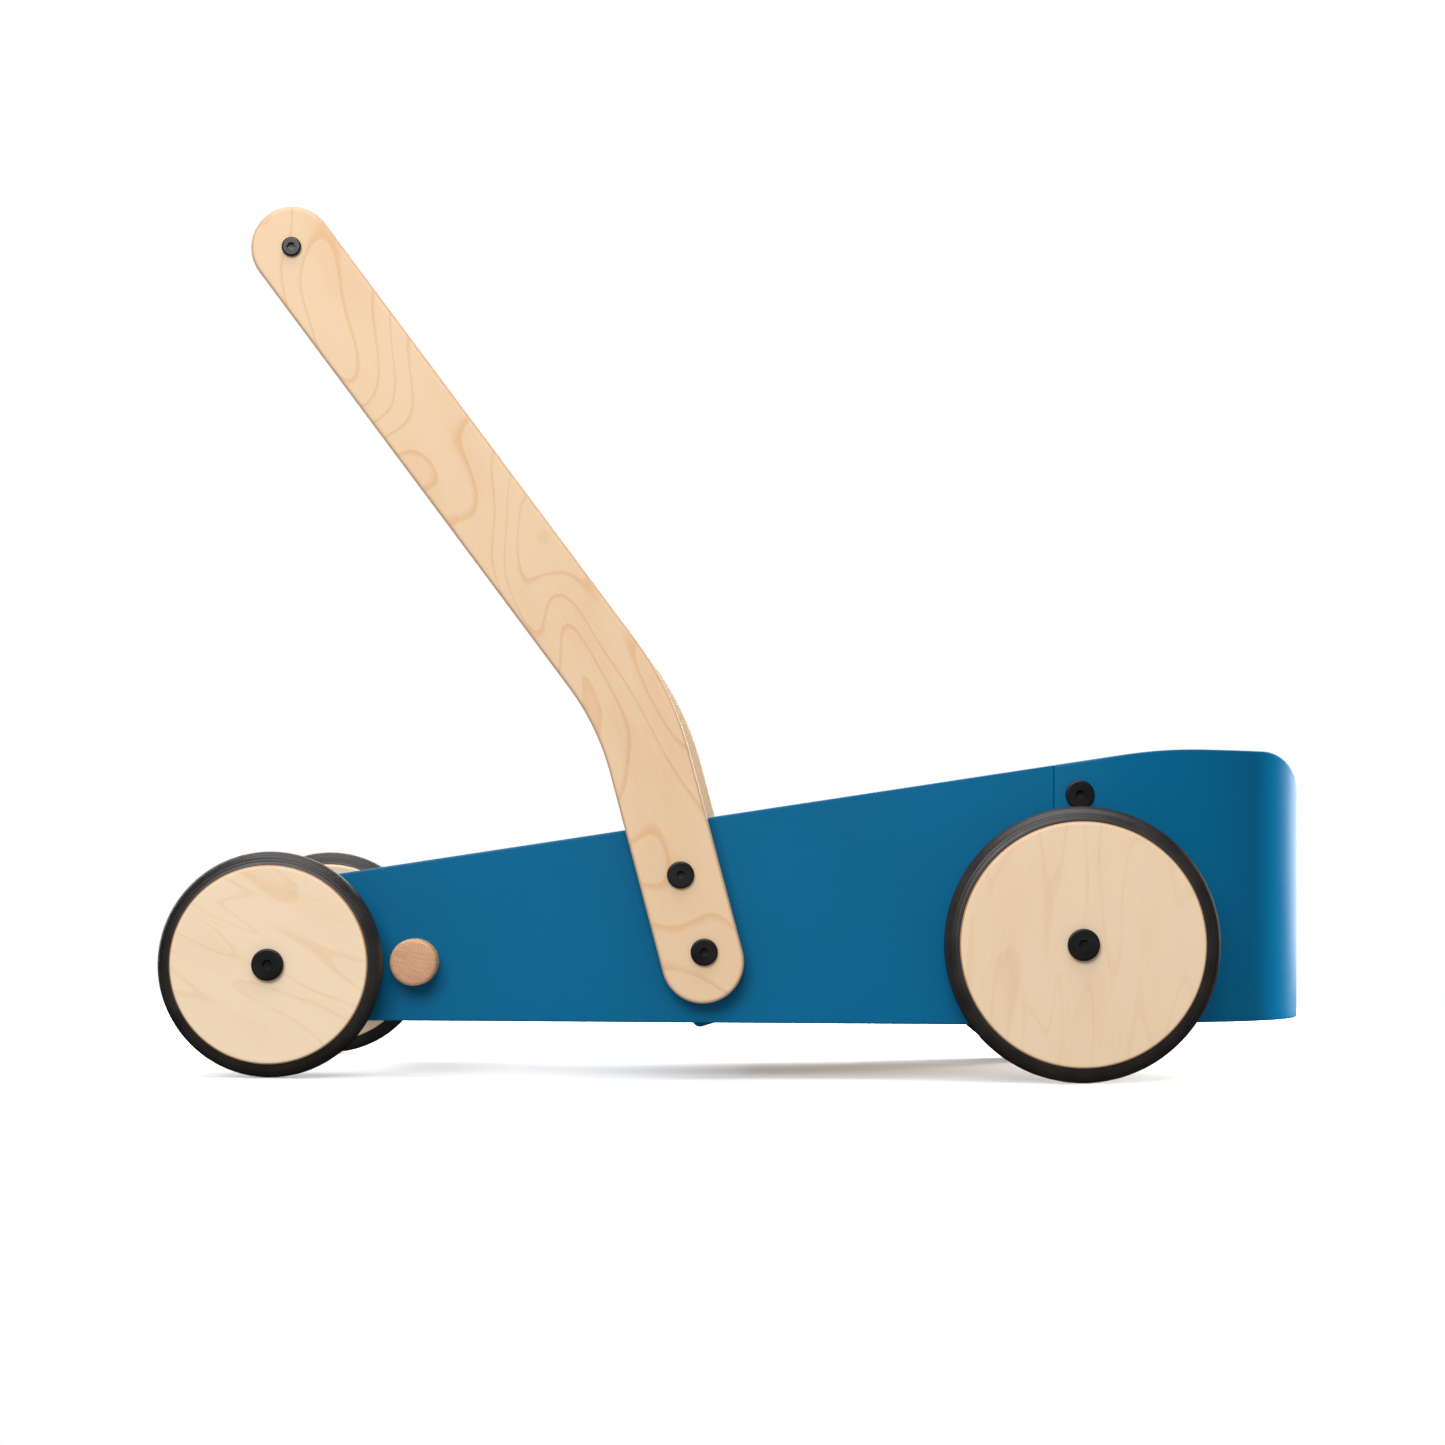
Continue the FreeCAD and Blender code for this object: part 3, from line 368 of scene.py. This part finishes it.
# %% Blue lacquer
def blue_lacquer(name):
    """Satin blue with faint clouds, low ridges along x and a spray gun's ripple."""
    finish, tree, shader = new_finish(name, 0.34, 0.13)
    here = add(tree, "ShaderNodeTexCoord", {}, "Object")
    fitted = add(tree, "ShaderNodeVectorMath", {0: here, 1: (10, 700, 900)}, operation="MULTIPLY")
    print_through = add(tree, "ShaderNodeTexNoise", {"Vector": fitted, "Scale": 1.0, "Detail": 3.0})
    peel = add(tree, "ShaderNodeTexNoise", {"Vector": here, "Scale": 900.0, "Detail": 1.0})
    cloud = add(tree, "ShaderNodeTexNoise", {"Vector": here, "Scale": 14.0, "Detail": 3.0})
    mixed = add(tree, "ShaderNodeMath", {0: print_through, 1: 0.35, 2: cloud}, operation="MULTIPLY_ADD")
    tone = add(tree, "ShaderNodeMapRange", {0: mixed, 1: 0.35, 2: 1.0})
    colour = add(tree, "ShaderNodeMix", {0: tone, 6: rgb("#00628c"), 7: rgb("#006693")}, 2, data_type="RGBA")
    ridges = add(tree, "ShaderNodeBump", {"Strength": 0.18, "Distance": 0.0001, "Height": print_through})
    ripple = add(tree, "ShaderNodeBump",
                 {"Strength": 0.12, "Distance": 0.00006, "Height": peel, "Normal": ridges})
    join(tree, shader, Base_Color=colour, Normal=ripple)
    return finish


blue = blue_lacquer("satin_blue_lacquer")
print("lacquer:", blue.name)


# %% [markdown]
# The cross rod is turned beech. Its sawn ends show the growth rings as faint curves and the rays as
# fine lines across them; its round side shows short darker dashes along the grain. The handle bar
# is birch dowel, paler and plainer. Both have a clear matt lacquer.

# %% Turned wood
RING_GAP = 1.7  # from one growth ring to the next


def dowel_wood(name, pale, dark, end_pale, end_dark, pith):
    """pith: where the middle of the log lay, in truck x and z; rings and rays run round it."""
    finish, tree, shader = new_finish(name, 0.5, 0.35)
    here = add(tree, "ShaderNodeTexCoord", {}, "Object")
    facing = add(tree, "ShaderNodeTexCoord", {}, "Normal")
    origin = ((pith[0] - MIDDLE) * MM, 0, pith[1] * MM)
    out_of_pith = add(tree, "ShaderNodeVectorMath", {0: here, 1: origin}, operation="SUBTRACT")
    plane = add(tree, "ShaderNodeVectorMath", {0: out_of_pith, 1: (1, 0, 1)}, operation="MULTIPLY")
    radius = add(tree, "ShaderNodeVectorMath", {0: plane}, "Value", operation="LENGTH")
    waver = add(tree, "ShaderNodeTexNoise", {"Vector": here, "Scale": 160.0, "Detail": 2.0})
    bent = add(tree, "ShaderNodeMath", {0: waver, 1: 0.0012, 2: radius}, operation="MULTIPLY_ADD")
    spaced = add(tree, "ShaderNodeMath", {0: bent, 1: 1 / (RING_GAP * MM)}, operation="MULTIPLY")
    phase = add(tree, "ShaderNodeMath", {0: spaced, 1: 0.5}, operation="PINGPONG")
    ring = add(tree, "ShaderNodeMapRange", {0: phase, 1: 0.0, 2: 0.5}, interpolation_type="SMOOTHSTEP")
    x = add(tree, "ShaderNodeSeparateXYZ", {"Vector": plane}, "X")
    z = add(tree, "ShaderNodeSeparateXYZ", {"Vector": plane}, "Z")
    angle = add(tree, "ShaderNodeMath", {0: z, 1: x}, operation="ARCTAN2")
    fan = add(tree, "ShaderNodeCombineXYZ", {"X": angle, "Y": radius, "Z": 0.0})
    thin = add(tree, "ShaderNodeVectorMath", {0: fan, 1: (150, 90, 1)}, operation="MULTIPLY")
    ray = add(tree, "ShaderNodeTexNoise", {"Vector": thin, "Scale": 1.0, "Detail": 2.0})
    seen = add(tree, "ShaderNodeMapRange", {0: ray, 1: 0.42, 2: 0.60})
    both = add(tree, "ShaderNodeMath", {0: ring, 1: 0.45, 2: seen}, operation="MULTIPLY_ADD")
    share = add(tree, "ShaderNodeMath", {0: both, 1: 0.55}, operation="MULTIPLY")
    end = add(tree, "ShaderNodeMix", {0: share, 6: rgb(end_pale), 7: rgb(end_dark)}, 2, data_type="RGBA")
    fitted = add(tree, "ShaderNodeVectorMath", {0: here, 1: (900, 45, 900)}, operation="MULTIPLY")
    dash = add(tree, "ShaderNodeTexNoise", {"Vector": fitted, "Scale": 1.0, "Detail": 3.0})
    seen_side = add(tree, "ShaderNodeMapRange", {0: dash, 1: 0.45, 2: 0.75})
    side = add(tree, "ShaderNodeMix", {0: seen_side, 6: rgb(pale), 7: rgb(dark)}, 2, data_type="RGBA")
    away = add(tree, "ShaderNodeVectorMath", {0: facing, 1: (0, 1, 0)}, "Value", operation="DOT_PRODUCT")
    flat = add(tree, "ShaderNodeMath", {0: away}, operation="ABSOLUTE")
    mask = add(tree, "ShaderNodeMapRange", {0: flat, 1: 0.80, 2: 0.95})
    colour = add(tree, "ShaderNodeMix", {0: mask, 6: side, 7: end}, 2, data_type="RGBA")
    relief = add(tree, "ShaderNodeBump", {"Strength": 0.2, "Distance": 0.0001, "Height": dash})
    join(tree, shader, Base_Color=colour, Normal=relief)
    return finish


beech = dowel_wood("turned_beech", "#d5a67e", "#b27e53", "#d9a883", "#b57f5a", (20, 80))
birch_dowel = dowel_wood("turned_birch", "#edcfa8", "#d9b083", "#dfba90", "#c79b6f", (-40, 470))
print("turned woods:", beech.name, birch_dowel.name)


# %% [markdown]
# The tyres are moulded rubber rings, a dull warm black with the mould's fine texture. Bolts are
# steel with a black coating. Hub bushes are moulded nylon. Spacers, inserts and screws are zinc
# plated steel. On all of them tone and roughness change a little from place to place.

# %% Rubber, steel and nylon
def plain(name, low, high, roughness, specular, metallic, grain, relief):
    """Colour between the tones low and high, and fine bumps: grain is their size in mm, relief how strong."""
    finish, tree, shader = new_finish(name, roughness, specular, metallic)
    here = add(tree, "ShaderNodeTexCoord", {}, "Object")
    broad = add(tree, "ShaderNodeTexNoise", {"Vector": here, "Scale": 60.0, "Detail": 4.0})
    fine = add(tree, "ShaderNodeTexNoise", {"Vector": here, "Scale": 1 / (grain * MM), "Detail": 2.0})
    tone = add(tree, "ShaderNodeMapRange", {0: broad, 1: 0.35, 2: 0.65})
    colour = add(tree, "ShaderNodeMix", {0: tone, 6: rgb(low), 7: rgb(high)}, 2, data_type="RGBA")
    spread = {0: broad, 1: 0.3, 2: 0.7, 3: roughness - 0.05, 4: roughness + 0.06}
    sheen = add(tree, "ShaderNodeMapRange", spread)
    bumped = add(tree, "ShaderNodeBump", {"Strength": relief, "Distance": 0.0001, "Height": fine})
    join(tree, shader, Base_Color=colour, Roughness=sheen, Normal=bumped)
    return finish


rubber = plain("moulded_rubber", "#24211f", "#2e2a27", 0.40, 0.5, 0.0, 0.6, 0.3)
black_steel = plain("black_coated_steel", "#141415", "#19191a", 0.28, 0.35, 0.0, 0.5, 0.08)
nylon = plain("moulded_nylon", "#2a2a2b", "#303031", 0.45, 0.5, 0.0, 0.8, 0.15)
zinc = plain("zinc_plated_steel", "#b9bab8", "#cfd0ce", 0.34, 0.5, 1.0, 0.4, 0.1)
print("rubber, steel and nylon:", rubber.name, black_steel.name, nylon.name, zinc.name)


# %% [markdown]
# A wheel is a plywood disc with a half-round groove turned in its rim. A rubber ring lies in the
# groove. The mould leaves three shallow lines on each flank of the ring.

# %% Wheel discs and tyres
WHEELS = {"rear": (REAR_HUB, 7.3, birch_rear), "front": (FRONT_HUB, 8.1, birch_front)}
TYRE = 8.0  # radius of the rubber's round section
BORE = 7.0
RIM = 1.4  # rounding of the disc's rim
FIT = 0.03  # air between the rubber and its groove
LINES, LINE_DEPTH, LINE_SPREAD = (24, 45, 66), 0.16, 2.4  # mould lines: degrees, mm, degrees
HOLD_BORE, HOLD_RIM = 0.6, 0.8  # rings this far inside the edges keep the face's shading flat


def disc_profile(rim, seat):
    """(r, h) round the disc's section: bore, face, rounded rim, groove, rounded rim, face."""
    groove = TYRE + FIT
    lip = math.degrees(math.acos((rim - seat) / groove))
    over = arc((rim - RIM, DISC_HALF - RIM), RIM, 90, 0)
    under = arc((rim - RIM, RIM - DISC_HALF), RIM, 0, -90)
    floor = arc((seat, 0), groove, lip, 360 - lip, 18)
    inner, outer = BORE + HOLD_BORE, rim - RIM - HOLD_RIM
    return [(BORE, -DISC_HALF), (BORE, DISC_HALF), (inner, DISC_HALF), (outer, DISC_HALF),
            *over, *floor, *under, (outer, -DISC_HALF), (inner, -DISC_HALF)]


def tyre_profile(seat, count=144):
    """(seat + p cos t, p sin t) with p = 8 - 0.16 sum exp(-((|t| - line) / 2.4)^2), t in degrees.

    Each term of the sum is one of the mould's lines, on both flanks of the ring.
    """
    t = np.linspace(-180, 180, count, endpoint=False)
    dips = sum(np.exp(-((np.abs(t) - line) / LINE_SPREAD) ** 2) for line in LINES)
    p = TYRE - LINE_DEPTH * dips
    return np.column_stack([seat + p * np.cos(np.radians(t)), p * np.sin(np.radians(t))])


for axle, ((x, radius), proud, wood) in WHEELS.items():
    for name, side in SIDES.items():
        centre, body = (x, side * WHEEL_Y, radius), f"{axle}_wheel_{name}"
        disc = turned(disc_profile(radius - proud, radius - TYRE), centre, side, closed=True)
        solid(f"{axle}_disc_{name}", [disc], wood, body, [f"{axle}_wheel_disc_{name}"])
        ring = turned(tyre_profile(radius - TYRE), centre, side, closed=True)
        solid(f"{axle}_ring_{name}", [ring], rubber, body, [f"{axle}_tyre_{name}"])


# %% [markdown]
# The side panels are plain boards: a straight bottom, a top edge that climbs towards the nose, and
# two large round corners at the tail.

# %% Side panels
PANEL = 9.0
PANEL_ROUND = 1.0
SEAM_X, SEAM_Z = FRONT_HUB[0] - 14.1, 169.3
RISE = 0.1577  # how much the top edge climbs for each mm forward
TAIL_X, PANEL_LOW, TAIL_CORNER = -32.0, 29.8, 18.0
climb = math.degrees(math.atan(RISE))
tail_top = SEAM_Z - (SEAM_X - TAIL_X) * RISE
upper_centre = (TAIL_X + TAIL_CORNER,
                tail_top + TAIL_CORNER * (RISE - math.sqrt(1 + RISE * RISE)))
panel_outline = [(SEAM_X, PANEL_LOW), (SEAM_X, SEAM_Z),
                 *arc(upper_centre, TAIL_CORNER, 90 + climb, 180, 16),
                 *arc((TAIL_X + TAIL_CORNER, PANEL_LOW + TAIL_CORNER), TAIL_CORNER, 180, 270, 16)]
for name, side in SIDES.items():
    low, high = sorted((side * HALF_WIDTH, side * (HALF_WIDTH - PANEL)))
    solid(f"panel_{name}", [board(panel_outline, low, high, PANEL_ROUND)], blue,
          "truck_body", [f"side_panel_{name}"])


# %% [markdown]
# The nose is one piece of plywood bent round a half circle. From the side its top goes on climbing,
# levels off in a long curve and drops in a round corner. The surface sweeps the section of the
# board along the bend, and the height of its top follows the side view.

# %% Bent nose
NOSE_X = 441.6  # where the half circle starts
FLAT_X = 430.0  # a ring here, just short of the bend, keeps the shading of the flat sides flat
NOSE_LOW, NOSE_TOP = 31.2, SEAM_Z + 9.3
BLEND, CORNER = 280.0, 27.0  # radii of the side view's long curve and of its front corner
crest = SEAM_X + (NOSE_TOP - SEAM_Z) / RISE
level_x = crest + BLEND * (math.sqrt(1 + RISE * RISE) - 1) / RISE
corner_x = NOSE_X + HALF_WIDTH - CORNER


def nose_top(x):
    """Height of the top edge at x: a straight climb, a wide arc, a level run and a round corner."""
    straight = SEAM_Z + (x - SEAM_X) * RISE
    wide = NOSE_TOP - BLEND + np.sqrt(np.clip(BLEND ** 2 - (x - level_x) ** 2, 0, None))
    drop = NOSE_TOP - CORNER + np.sqrt(np.clip(CORNER ** 2 - (x - corner_x) ** 2, 0, None))
    start = level_x - BLEND * math.sin(math.atan(RISE))
    level = np.full_like(x, NOSE_TOP)
    return np.select([x < start, x < level_x, x < corner_x], [straight, wide, level], drop)


def nose_section(edge=1.0, steps=5):
    """(depth into the board, 1 at the top or 0 at the bottom, distance from that end), all round."""
    t = np.radians(np.linspace(0, 90, steps + 1))
    bend = list(zip(edge * (1 - np.cos(t)), edge * (1 - np.sin(t))))
    outside = [(d, 1, drop) for d, drop in bend]
    inside = [(PANEL - d, 1, drop) for d, drop in bend[::-1]]
    across = [(d, 1, 0.0) for d in np.linspace(edge, PANEL - edge, 8)[1:-1]]
    upper = [(0.0, 1, edge * 1.6), *outside, *across, *inside, (PANEL, 1, edge * 1.6)]
    lower = [(PANEL, 0, edge * 1.6), *[(d, 0, drop) for d, _top, drop in inside[::-1]],
             *[(d, 0, drop) for d, _top, drop in outside[::-1]], (0.0, 0, edge * 1.6)]
    return np.array(upper + lower)


def bent_nose(edge=0.9):
    """P(u, k): the board's section, carried along the right side, round the half circle and back.

    A point at depth d lies 121 - d from the middle line, or from the centre of the half circle.
    At both ends the section shrinks by edge (1 - sin t), which rounds the board's end.
    """
    t = np.radians(np.linspace(0, 90, 6))
    starts = SEAM_X + edge * (1 - np.cos(t))
    shrinks = edge * (1 - np.sin(t))
    straight = [(x, -90.0, s) for x, s in zip(starts, shrinks)] + [(FLAT_X, -90.0, 0.0)]
    half = [(NOSE_X, angle, 0.0) for angle in np.linspace(-90, 90, 181)]
    back = [(x, 90.0, s) for x, _angle, s in straight[::-1]]
    depth, top, drop = nose_section().T
    rings = []
    for x, angle, shrink in straight + half + back:
        d = PANEL / 2 + (depth - PANEL / 2) * (1 - 2 * shrink / PANEL)
        reach = HALF_WIDTH - d
        px = x + reach * math.cos(math.radians(angle))
        py = reach * math.sin(math.radians(angle))
        pz = np.where(top > 0, nose_top(px) - drop - shrink, NOSE_LOW + drop + shrink)
        rings.append(np.column_stack([px, py, pz]))
    rows, count = len(rings), len(depth)
    faces = grid_faces(rows, count)
    faces.append(list(range(count)))
    faces.append(list(range((rows - 1) * count, rows * count))[::-1])
    return np.concatenate(rings), faces


solid("bent_nose", [bent_nose()], blue, "truck_body", ["nose_panel"])


# %% [markdown]
# Each handle arm is cut from thick birch plywood in one sweep: a long straight run down from the
# bar, a bend of wide radius and a short straight foot, with a half round at each end. A router
# rounds all its edges.

# %% Handle arms
ARM_TOP = np.array(BAR_AT)
ARM_FOOT = np.array((230.6, 62.6))
BEND = np.array((50.1, 127.9))  # centre of the bend
BEND_RADIUS, ARM_HALF, ARM_ROUND = 157.0, 22.0, 2.0


def spun(vector, angle):
    """The vector turned anticlockwise: (c x - s z, s x + c z)."""
    c, s = math.cos(angle), math.sin(angle)
    return np.array((c * vector[0] - s * vector[1], s * vector[0] + c * vector[1]))


def arm_run(end, sign):
    """From an end of the arm to its bend: (unit vector along the run, unit vector out of the bend)."""
    gap = BEND - end
    along = spun(gap, sign * math.asin(BEND_RADIUS / np.linalg.norm(gap)))
    along /= np.linalg.norm(along)
    return along, spun(along, sign * math.pi / 2)


def arm_outline():
    """Outer side from the top to the foot, half round, inner side back to the top, half round."""
    (top_along, top_out), (foot_along, foot_out) = arm_run(ARM_TOP, 1), arm_run(ARM_FOOT, -1)
    start, stop = (math.degrees(math.atan2(v[1], v[0])) for v in (top_out, foot_out))
    t = np.radians(np.linspace(0, 180, 41))[1:-1, None]
    outer = arc(BEND, BEND_RADIUS + ARM_HALF, start, stop, 40)
    inner = arc(BEND, BEND_RADIUS - ARM_HALF, stop, start, 40)
    foot = ARM_FOOT + ARM_HALF * (np.cos(t) * foot_out - np.sin(t) * foot_along)
    top = ARM_TOP + ARM_HALF * (-np.cos(t) * top_out - np.sin(t) * top_along)
    return [ARM_TOP + ARM_HALF * top_out, *outer, ARM_FOOT + ARM_HALF * foot_out, *foot,
            ARM_FOOT - ARM_HALF * foot_out, *inner, ARM_TOP - ARM_HALF * top_out, *top]


for name, side in SIDES.items():
    low, high = sorted((side * ARM_INNER, side * ARM_OUTER))
    solid(f"arm_{name}", [board(arm_outline(), low, high, ARM_ROUND)], birch_arm,
          "truck_body", [f"handle_arm_{name}"])


# %% [markdown]
# The beech rod goes through both panels and stands out of them, with a small chamfer on its ends.
# The handle bar fits between the tops of the arms.

# %% Rod and handle bar
def rod_shape(x, z, radius, half, chamfer):
    """A cylinder of the given half length whose ends have a slightly softened chamfer."""
    soft = chamfer * 0.2
    end = [(0, half), (radius * 0.5, half), (radius - chamfer - soft, half),
           (radius - chamfer + soft * 0.5, half - soft * 0.5),
           (radius - soft * 0.5, half - chamfer + soft * 0.5), (radius, half - chamfer - soft)]
    return turned(end + [(r, -h) for r, h in end[::-1]], (x, 0, z))


rod = rod_shape(76.0, 61.6, radius=12.5, half=138.0, chamfer=1.4)
bar = rod_shape(*BAR_AT, radius=14.0, half=ARM_INNER, chamfer=0.4)
solid("beech_rod", [rod], beech, "truck_body", ["cross_rod"])
solid("grip_bar", [bar], birch_dowel, "truck_body", ["handle_bar"])


# %% [markdown]
# The bolts are furniture bolts: a low round head with a rounded rim and a hexagon socket, and a
# plain shank. The hub bolts carry the wheels, so their heads are the largest. They sit on their
# bushes, which stand half a millimetre out of the discs.

# %% Bolts
WHEEL_SEAT = WHEEL_Y + DISC_HALF + 0.5
NOSE_BOLT_X = SEAM_X + 13.9
BOLTS = {  # seat from the middle, head across, head height, key, shank across, shank length, places
    "wheel": (WHEEL_SEAT, 17.2, 3.0, 5.0, 8.0, 52.5, [REAR_HUB, FRONT_HUB]),
    "arm": (ARM_OUTER, 14.6, 2.6, 4.0, 6.0, 35.0, [(218.6, 109.1), (231.41, 68.05)]),
    "nose": (HALF_WIDTH, 15.4, 2.6, 4.0, 6.0, 23.0, [(NOSE_BOLT_X, 153.6), (NOSE_BOLT_X, 45.0)]),
    "bar": (ARM_OUTER, 10.5, 2.6, 4.0, 6.0, 38.0, [BAR_AT]),
}
SOCKET, HEAD_ROUND = 2.0, 0.9  # depth of the socket, rounding of the head's rim


def bolt_shape(x, z, side, seat, head, height, key, shank, length):
    """The turned profile of a bolt: socket floor, hexagon wall, face, rounded rim, seat and shank."""
    corner, radius = key / math.sqrt(3), head / 2
    rows = [(0, height - SOCKET - 0.3, 1), (corner * 0.9, height - SOCKET, 1), (corner, height - SOCKET, 1),
            (corner, height - 0.15, 1), (corner + 0.15, height, 1), (corner + 0.9, height, 0.2),
            (radius - HEAD_ROUND - 0.3, height, 0)]
    rows += [(r, h, 0) for r, h in arc((radius - HEAD_ROUND, height - HEAD_ROUND), HEAD_ROUND, 90, 0, 6)]
    rows += [(radius, 0.2, 0), (radius - 0.2, 0, 0), (shank / 2, 0, 0), (shank / 2, 0.5 - length, 0),
             (shank / 2 - 0.5, -length, 0), (0, -length, 0)]
    profile = [(r, h) for r, h, _corner in rows]
    return turned(profile, (x, side * seat, z), side, around=144, corners=[row[2] for row in rows])


for kind, (seat, head, height, key, shank, length, places) in BOLTS.items():
    shapes = [bolt_shape(x, z, side, seat, head, height, key, shank, length)
              for x, z in places for side in SIDES.values()]
    solid(f"{kind}_bolt_set", shapes, black_steel, "truck_body", [f"{kind}_bolts"])


# %% [markdown]
# The parts inside the box and in the hubs keep their CAD surfaces: they are plain blocks, boards,
# sleeves and screws. They only need their finishes.

# %% Finishes of the CAD parts that stay
KEPT = {
    "floor_board": birch_floor, "tail_board": blue, "wheel_spacers": zinc, "floor_screws": zinc,
    "wheel_inserts": zinc, "arm_inserts": zinc, "nose_inserts": zinc, "bar_inserts": zinc,
}
for name in SIDES:
    KEPT.update({f"{part}_{name}": blue for part in
                 ("arm_backing", "floor_rail", "rear_axle_block", "front_axle_block")})
    KEPT.update({f"{axle}_hub_bush_{name}": nylon for axle in WHEELS})
for name, finish in KEPT.items():
    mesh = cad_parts[name].data
    mesh.materials.clear()
    mesh.materials.append(finish)
print(len(KEPT), "CAD parts given a finish")


# %% [markdown]
# The picture is a studio shot on a white sweep. The floor near the truck is white paper, which
# takes the shadow; further out it fades into the white background. The world is white to the
# camera, a dim fill to every surface, and left out of reflections.

# %% Floor and background
FADE_START, FADE_END, AMBIENT, PAPER = 0.75, 1.15, 0.42, 0.86


def white_floor(name):
    """White paper that fades out between two distances from the middle."""
    finish, tree, shader = new_finish(name, 1.0, 0.0)
    shader.inputs["Base Color"].default_value = (0.93, 0.93, 0.93, 1)
    here = add(tree, "ShaderNodeTexCoord", {}, "Object")
    distance = add(tree, "ShaderNodeVectorMath", {0: here}, "Value", operation="LENGTH")
    shown = add(tree, "ShaderNodeMapRange", {0: distance, 1: FADE_END, 2: FADE_START, 4: PAPER},
                interpolation_type="SMOOTHSTEP")
    join(tree, shader, Alpha=shown)
    return finish


bpy.ops.mesh.primitive_circle_add(vertices=96, radius=FADE_END + 0.05, fill_type="NGON")
floor = bpy.context.object
floor.name = "white_floor"
floor.data.materials.append(white_floor("white_paper"))
floor.visible_diffuse = floor.visible_glossy = False
floor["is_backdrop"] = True

world = bpy.data.worlds.new("white_room")
bpy.context.scene.world = world
world.use_nodes = True
seen = add(world.node_tree, "ShaderNodeLightPath", {}, "Is Camera Ray")
strength = add(world.node_tree, "ShaderNodeMapRange", {0: seen, 3: AMBIENT, 4: 1.0})
world.node_tree.nodes["Background"].inputs["Color"].default_value = (1, 1, 1, 1)
world.node_tree.links.new(strength, world.node_tree.nodes["Background"].inputs["Strength"])
world.cycles_visibility.glossy = False
print("floor radius", FADE_END + 0.05, "m, fill", AMBIENT)


# %% [markdown]
# Soft light: a large box overhead gives the bright top edges and the shadow below, a key in front
# lights the right side, and a box behind lights the left side about as much. A narrow lamp ahead
# and behind reaches little but the front of the nose, whose edge it brightens.

# %% Lights
def soft_box(name, place, target, size, power):
    """A rectangular lamp of the given size in metres and power in watts, turned to its target."""
    light = bpy.data.lights.new(name, "AREA")
    light.shape = "RECTANGLE"
    light.size, light.size_y = size
    light.energy = power
    made = bpy.data.objects.new(name, light)
    bpy.context.scene.collection.objects.link(made)
    made.location = place
    made.rotation_euler = (Vector(target) - Vector(place)).to_track_quat("-Z", "Y").to_euler()
    made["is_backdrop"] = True
    return made


soft_box("overhead", (-0.15, -0.15, 1.9), (0, 0, 0), (2.0, 1.5), 30)
soft_box("key", (-0.5, -2.5, 1.35), (0.05, 0, 0.1), (1.5, 1.2), 46)
soft_box("back", (0.3, 2.4, 1.0), (0, 0, 0.1), (1.5, 1.2), 36).visible_glossy = False
nose_light = soft_box("nose_light", (1.85, 1.55, 0.3), (0.48, 0.0, 0.1), (0.35, 0.5), 3.0)
nose_light.visible_glossy = False
nose_light.data.spread = math.radians(12)
print("overhead, key, back and nose lamps")


# %% [markdown]
# In a white room light comes back from all round and fills the shadow on the floor. Two lamps that
# light nothing but the paper stand for that. The card behind shows only in reflections: it gives
# the blue nose its pale rim.

# %% Light on the paper and the card behind
paper_only = bpy.data.collections.new("paper_only")
paper_only.objects.link(floor)
for wash in (soft_box("wash_right", (1.55, 1.6, 0.35), (0.25, 0, 0.1), (0.8, 0.8), 245),
             soft_box("wash_left", (-1.6, 1.5, 0.35), (-0.25, 0, 0.1), (0.8, 0.8), 60)):
    wash.light_linking.receiver_collection = paper_only


CARD_GLOW = 2.9


def reflector(name, low, high, y):
    """An upright white card from low (x, z) to high (x, z), seen by nothing but reflections."""
    points = [(low[0], y, low[1]), (high[0], y, low[1]), (high[0], y, high[1]), (low[0], y, high[1])]
    mesh = bpy.data.meshes.new(name)
    mesh.from_pydata(points, [], [(3, 2, 1, 0)])
    finish = bpy.data.materials.new("card_light")
    finish.use_nodes = True
    tree = finish.node_tree
    glow = add(tree, "ShaderNodeEmission", {"Color": (1, 1, 1, 1), "Strength": CARD_GLOW})
    tree.links.new(glow, tree.nodes["Material Output"].inputs["Surface"])
    mesh.materials.append(finish)
    made = bpy.data.objects.new(name, mesh)
    bpy.context.scene.collection.objects.link(made)
    made.visible_camera = made.visible_diffuse = made.visible_shadow = False
    made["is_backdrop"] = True


reflector("back_card", (-2.0, 0.0), (1.6, 1.6), 1.6)
print("two lamps for the paper, and the card")


# %% [markdown]
# The camera stands about 2.3 m away, almost square to the side and about as high as the middle of
# the box, with a long lens. It is turned a degree from square, looks up two degrees and is tilted
# by a third of a degree.

# %% Camera
camera_data = bpy.data.cameras.new("camera")
camera_data.lens = 100.57
camera_data.sensor_width = 36.0
camera = bpy.data.objects.new("camera", camera_data)
bpy.context.scene.collection.objects.link(camera)
yaw, pitch, roll = 0.0177324, 0.0337934, -0.0061242
ahead = Vector((-math.sin(yaw), math.cos(yaw), 0))
across = Vector((math.cos(yaw), math.sin(yaw), 0))
up = Vector((0, 0, 1))
look = ahead * math.cos(pitch) + up * math.sin(pitch)
above = up * math.cos(pitch) - ahead * math.sin(pitch)
right = across * math.cos(roll) - above * math.sin(roll)
top = above * math.cos(roll) + across * math.sin(roll)
placed = Matrix((right, top, -look)).transposed().to_4x4()
placed.translation = Vector((0.02746, -2.29198, 0.11779))
camera.matrix_world = placed
bpy.context.scene.camera = camera
bpy.context.scene.view_settings.view_transform = "Standard"
print("camera at", [round(v, 3) for v in placed.translation])

# %% The size of the finished model against the CAD box
shown_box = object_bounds()
gaps = [abs(a - b) / MM for cad, shown in zip(cad_box, shown_box) for a, b in zip(cad, shown)]
print("largest difference in mm:", max(gaps))
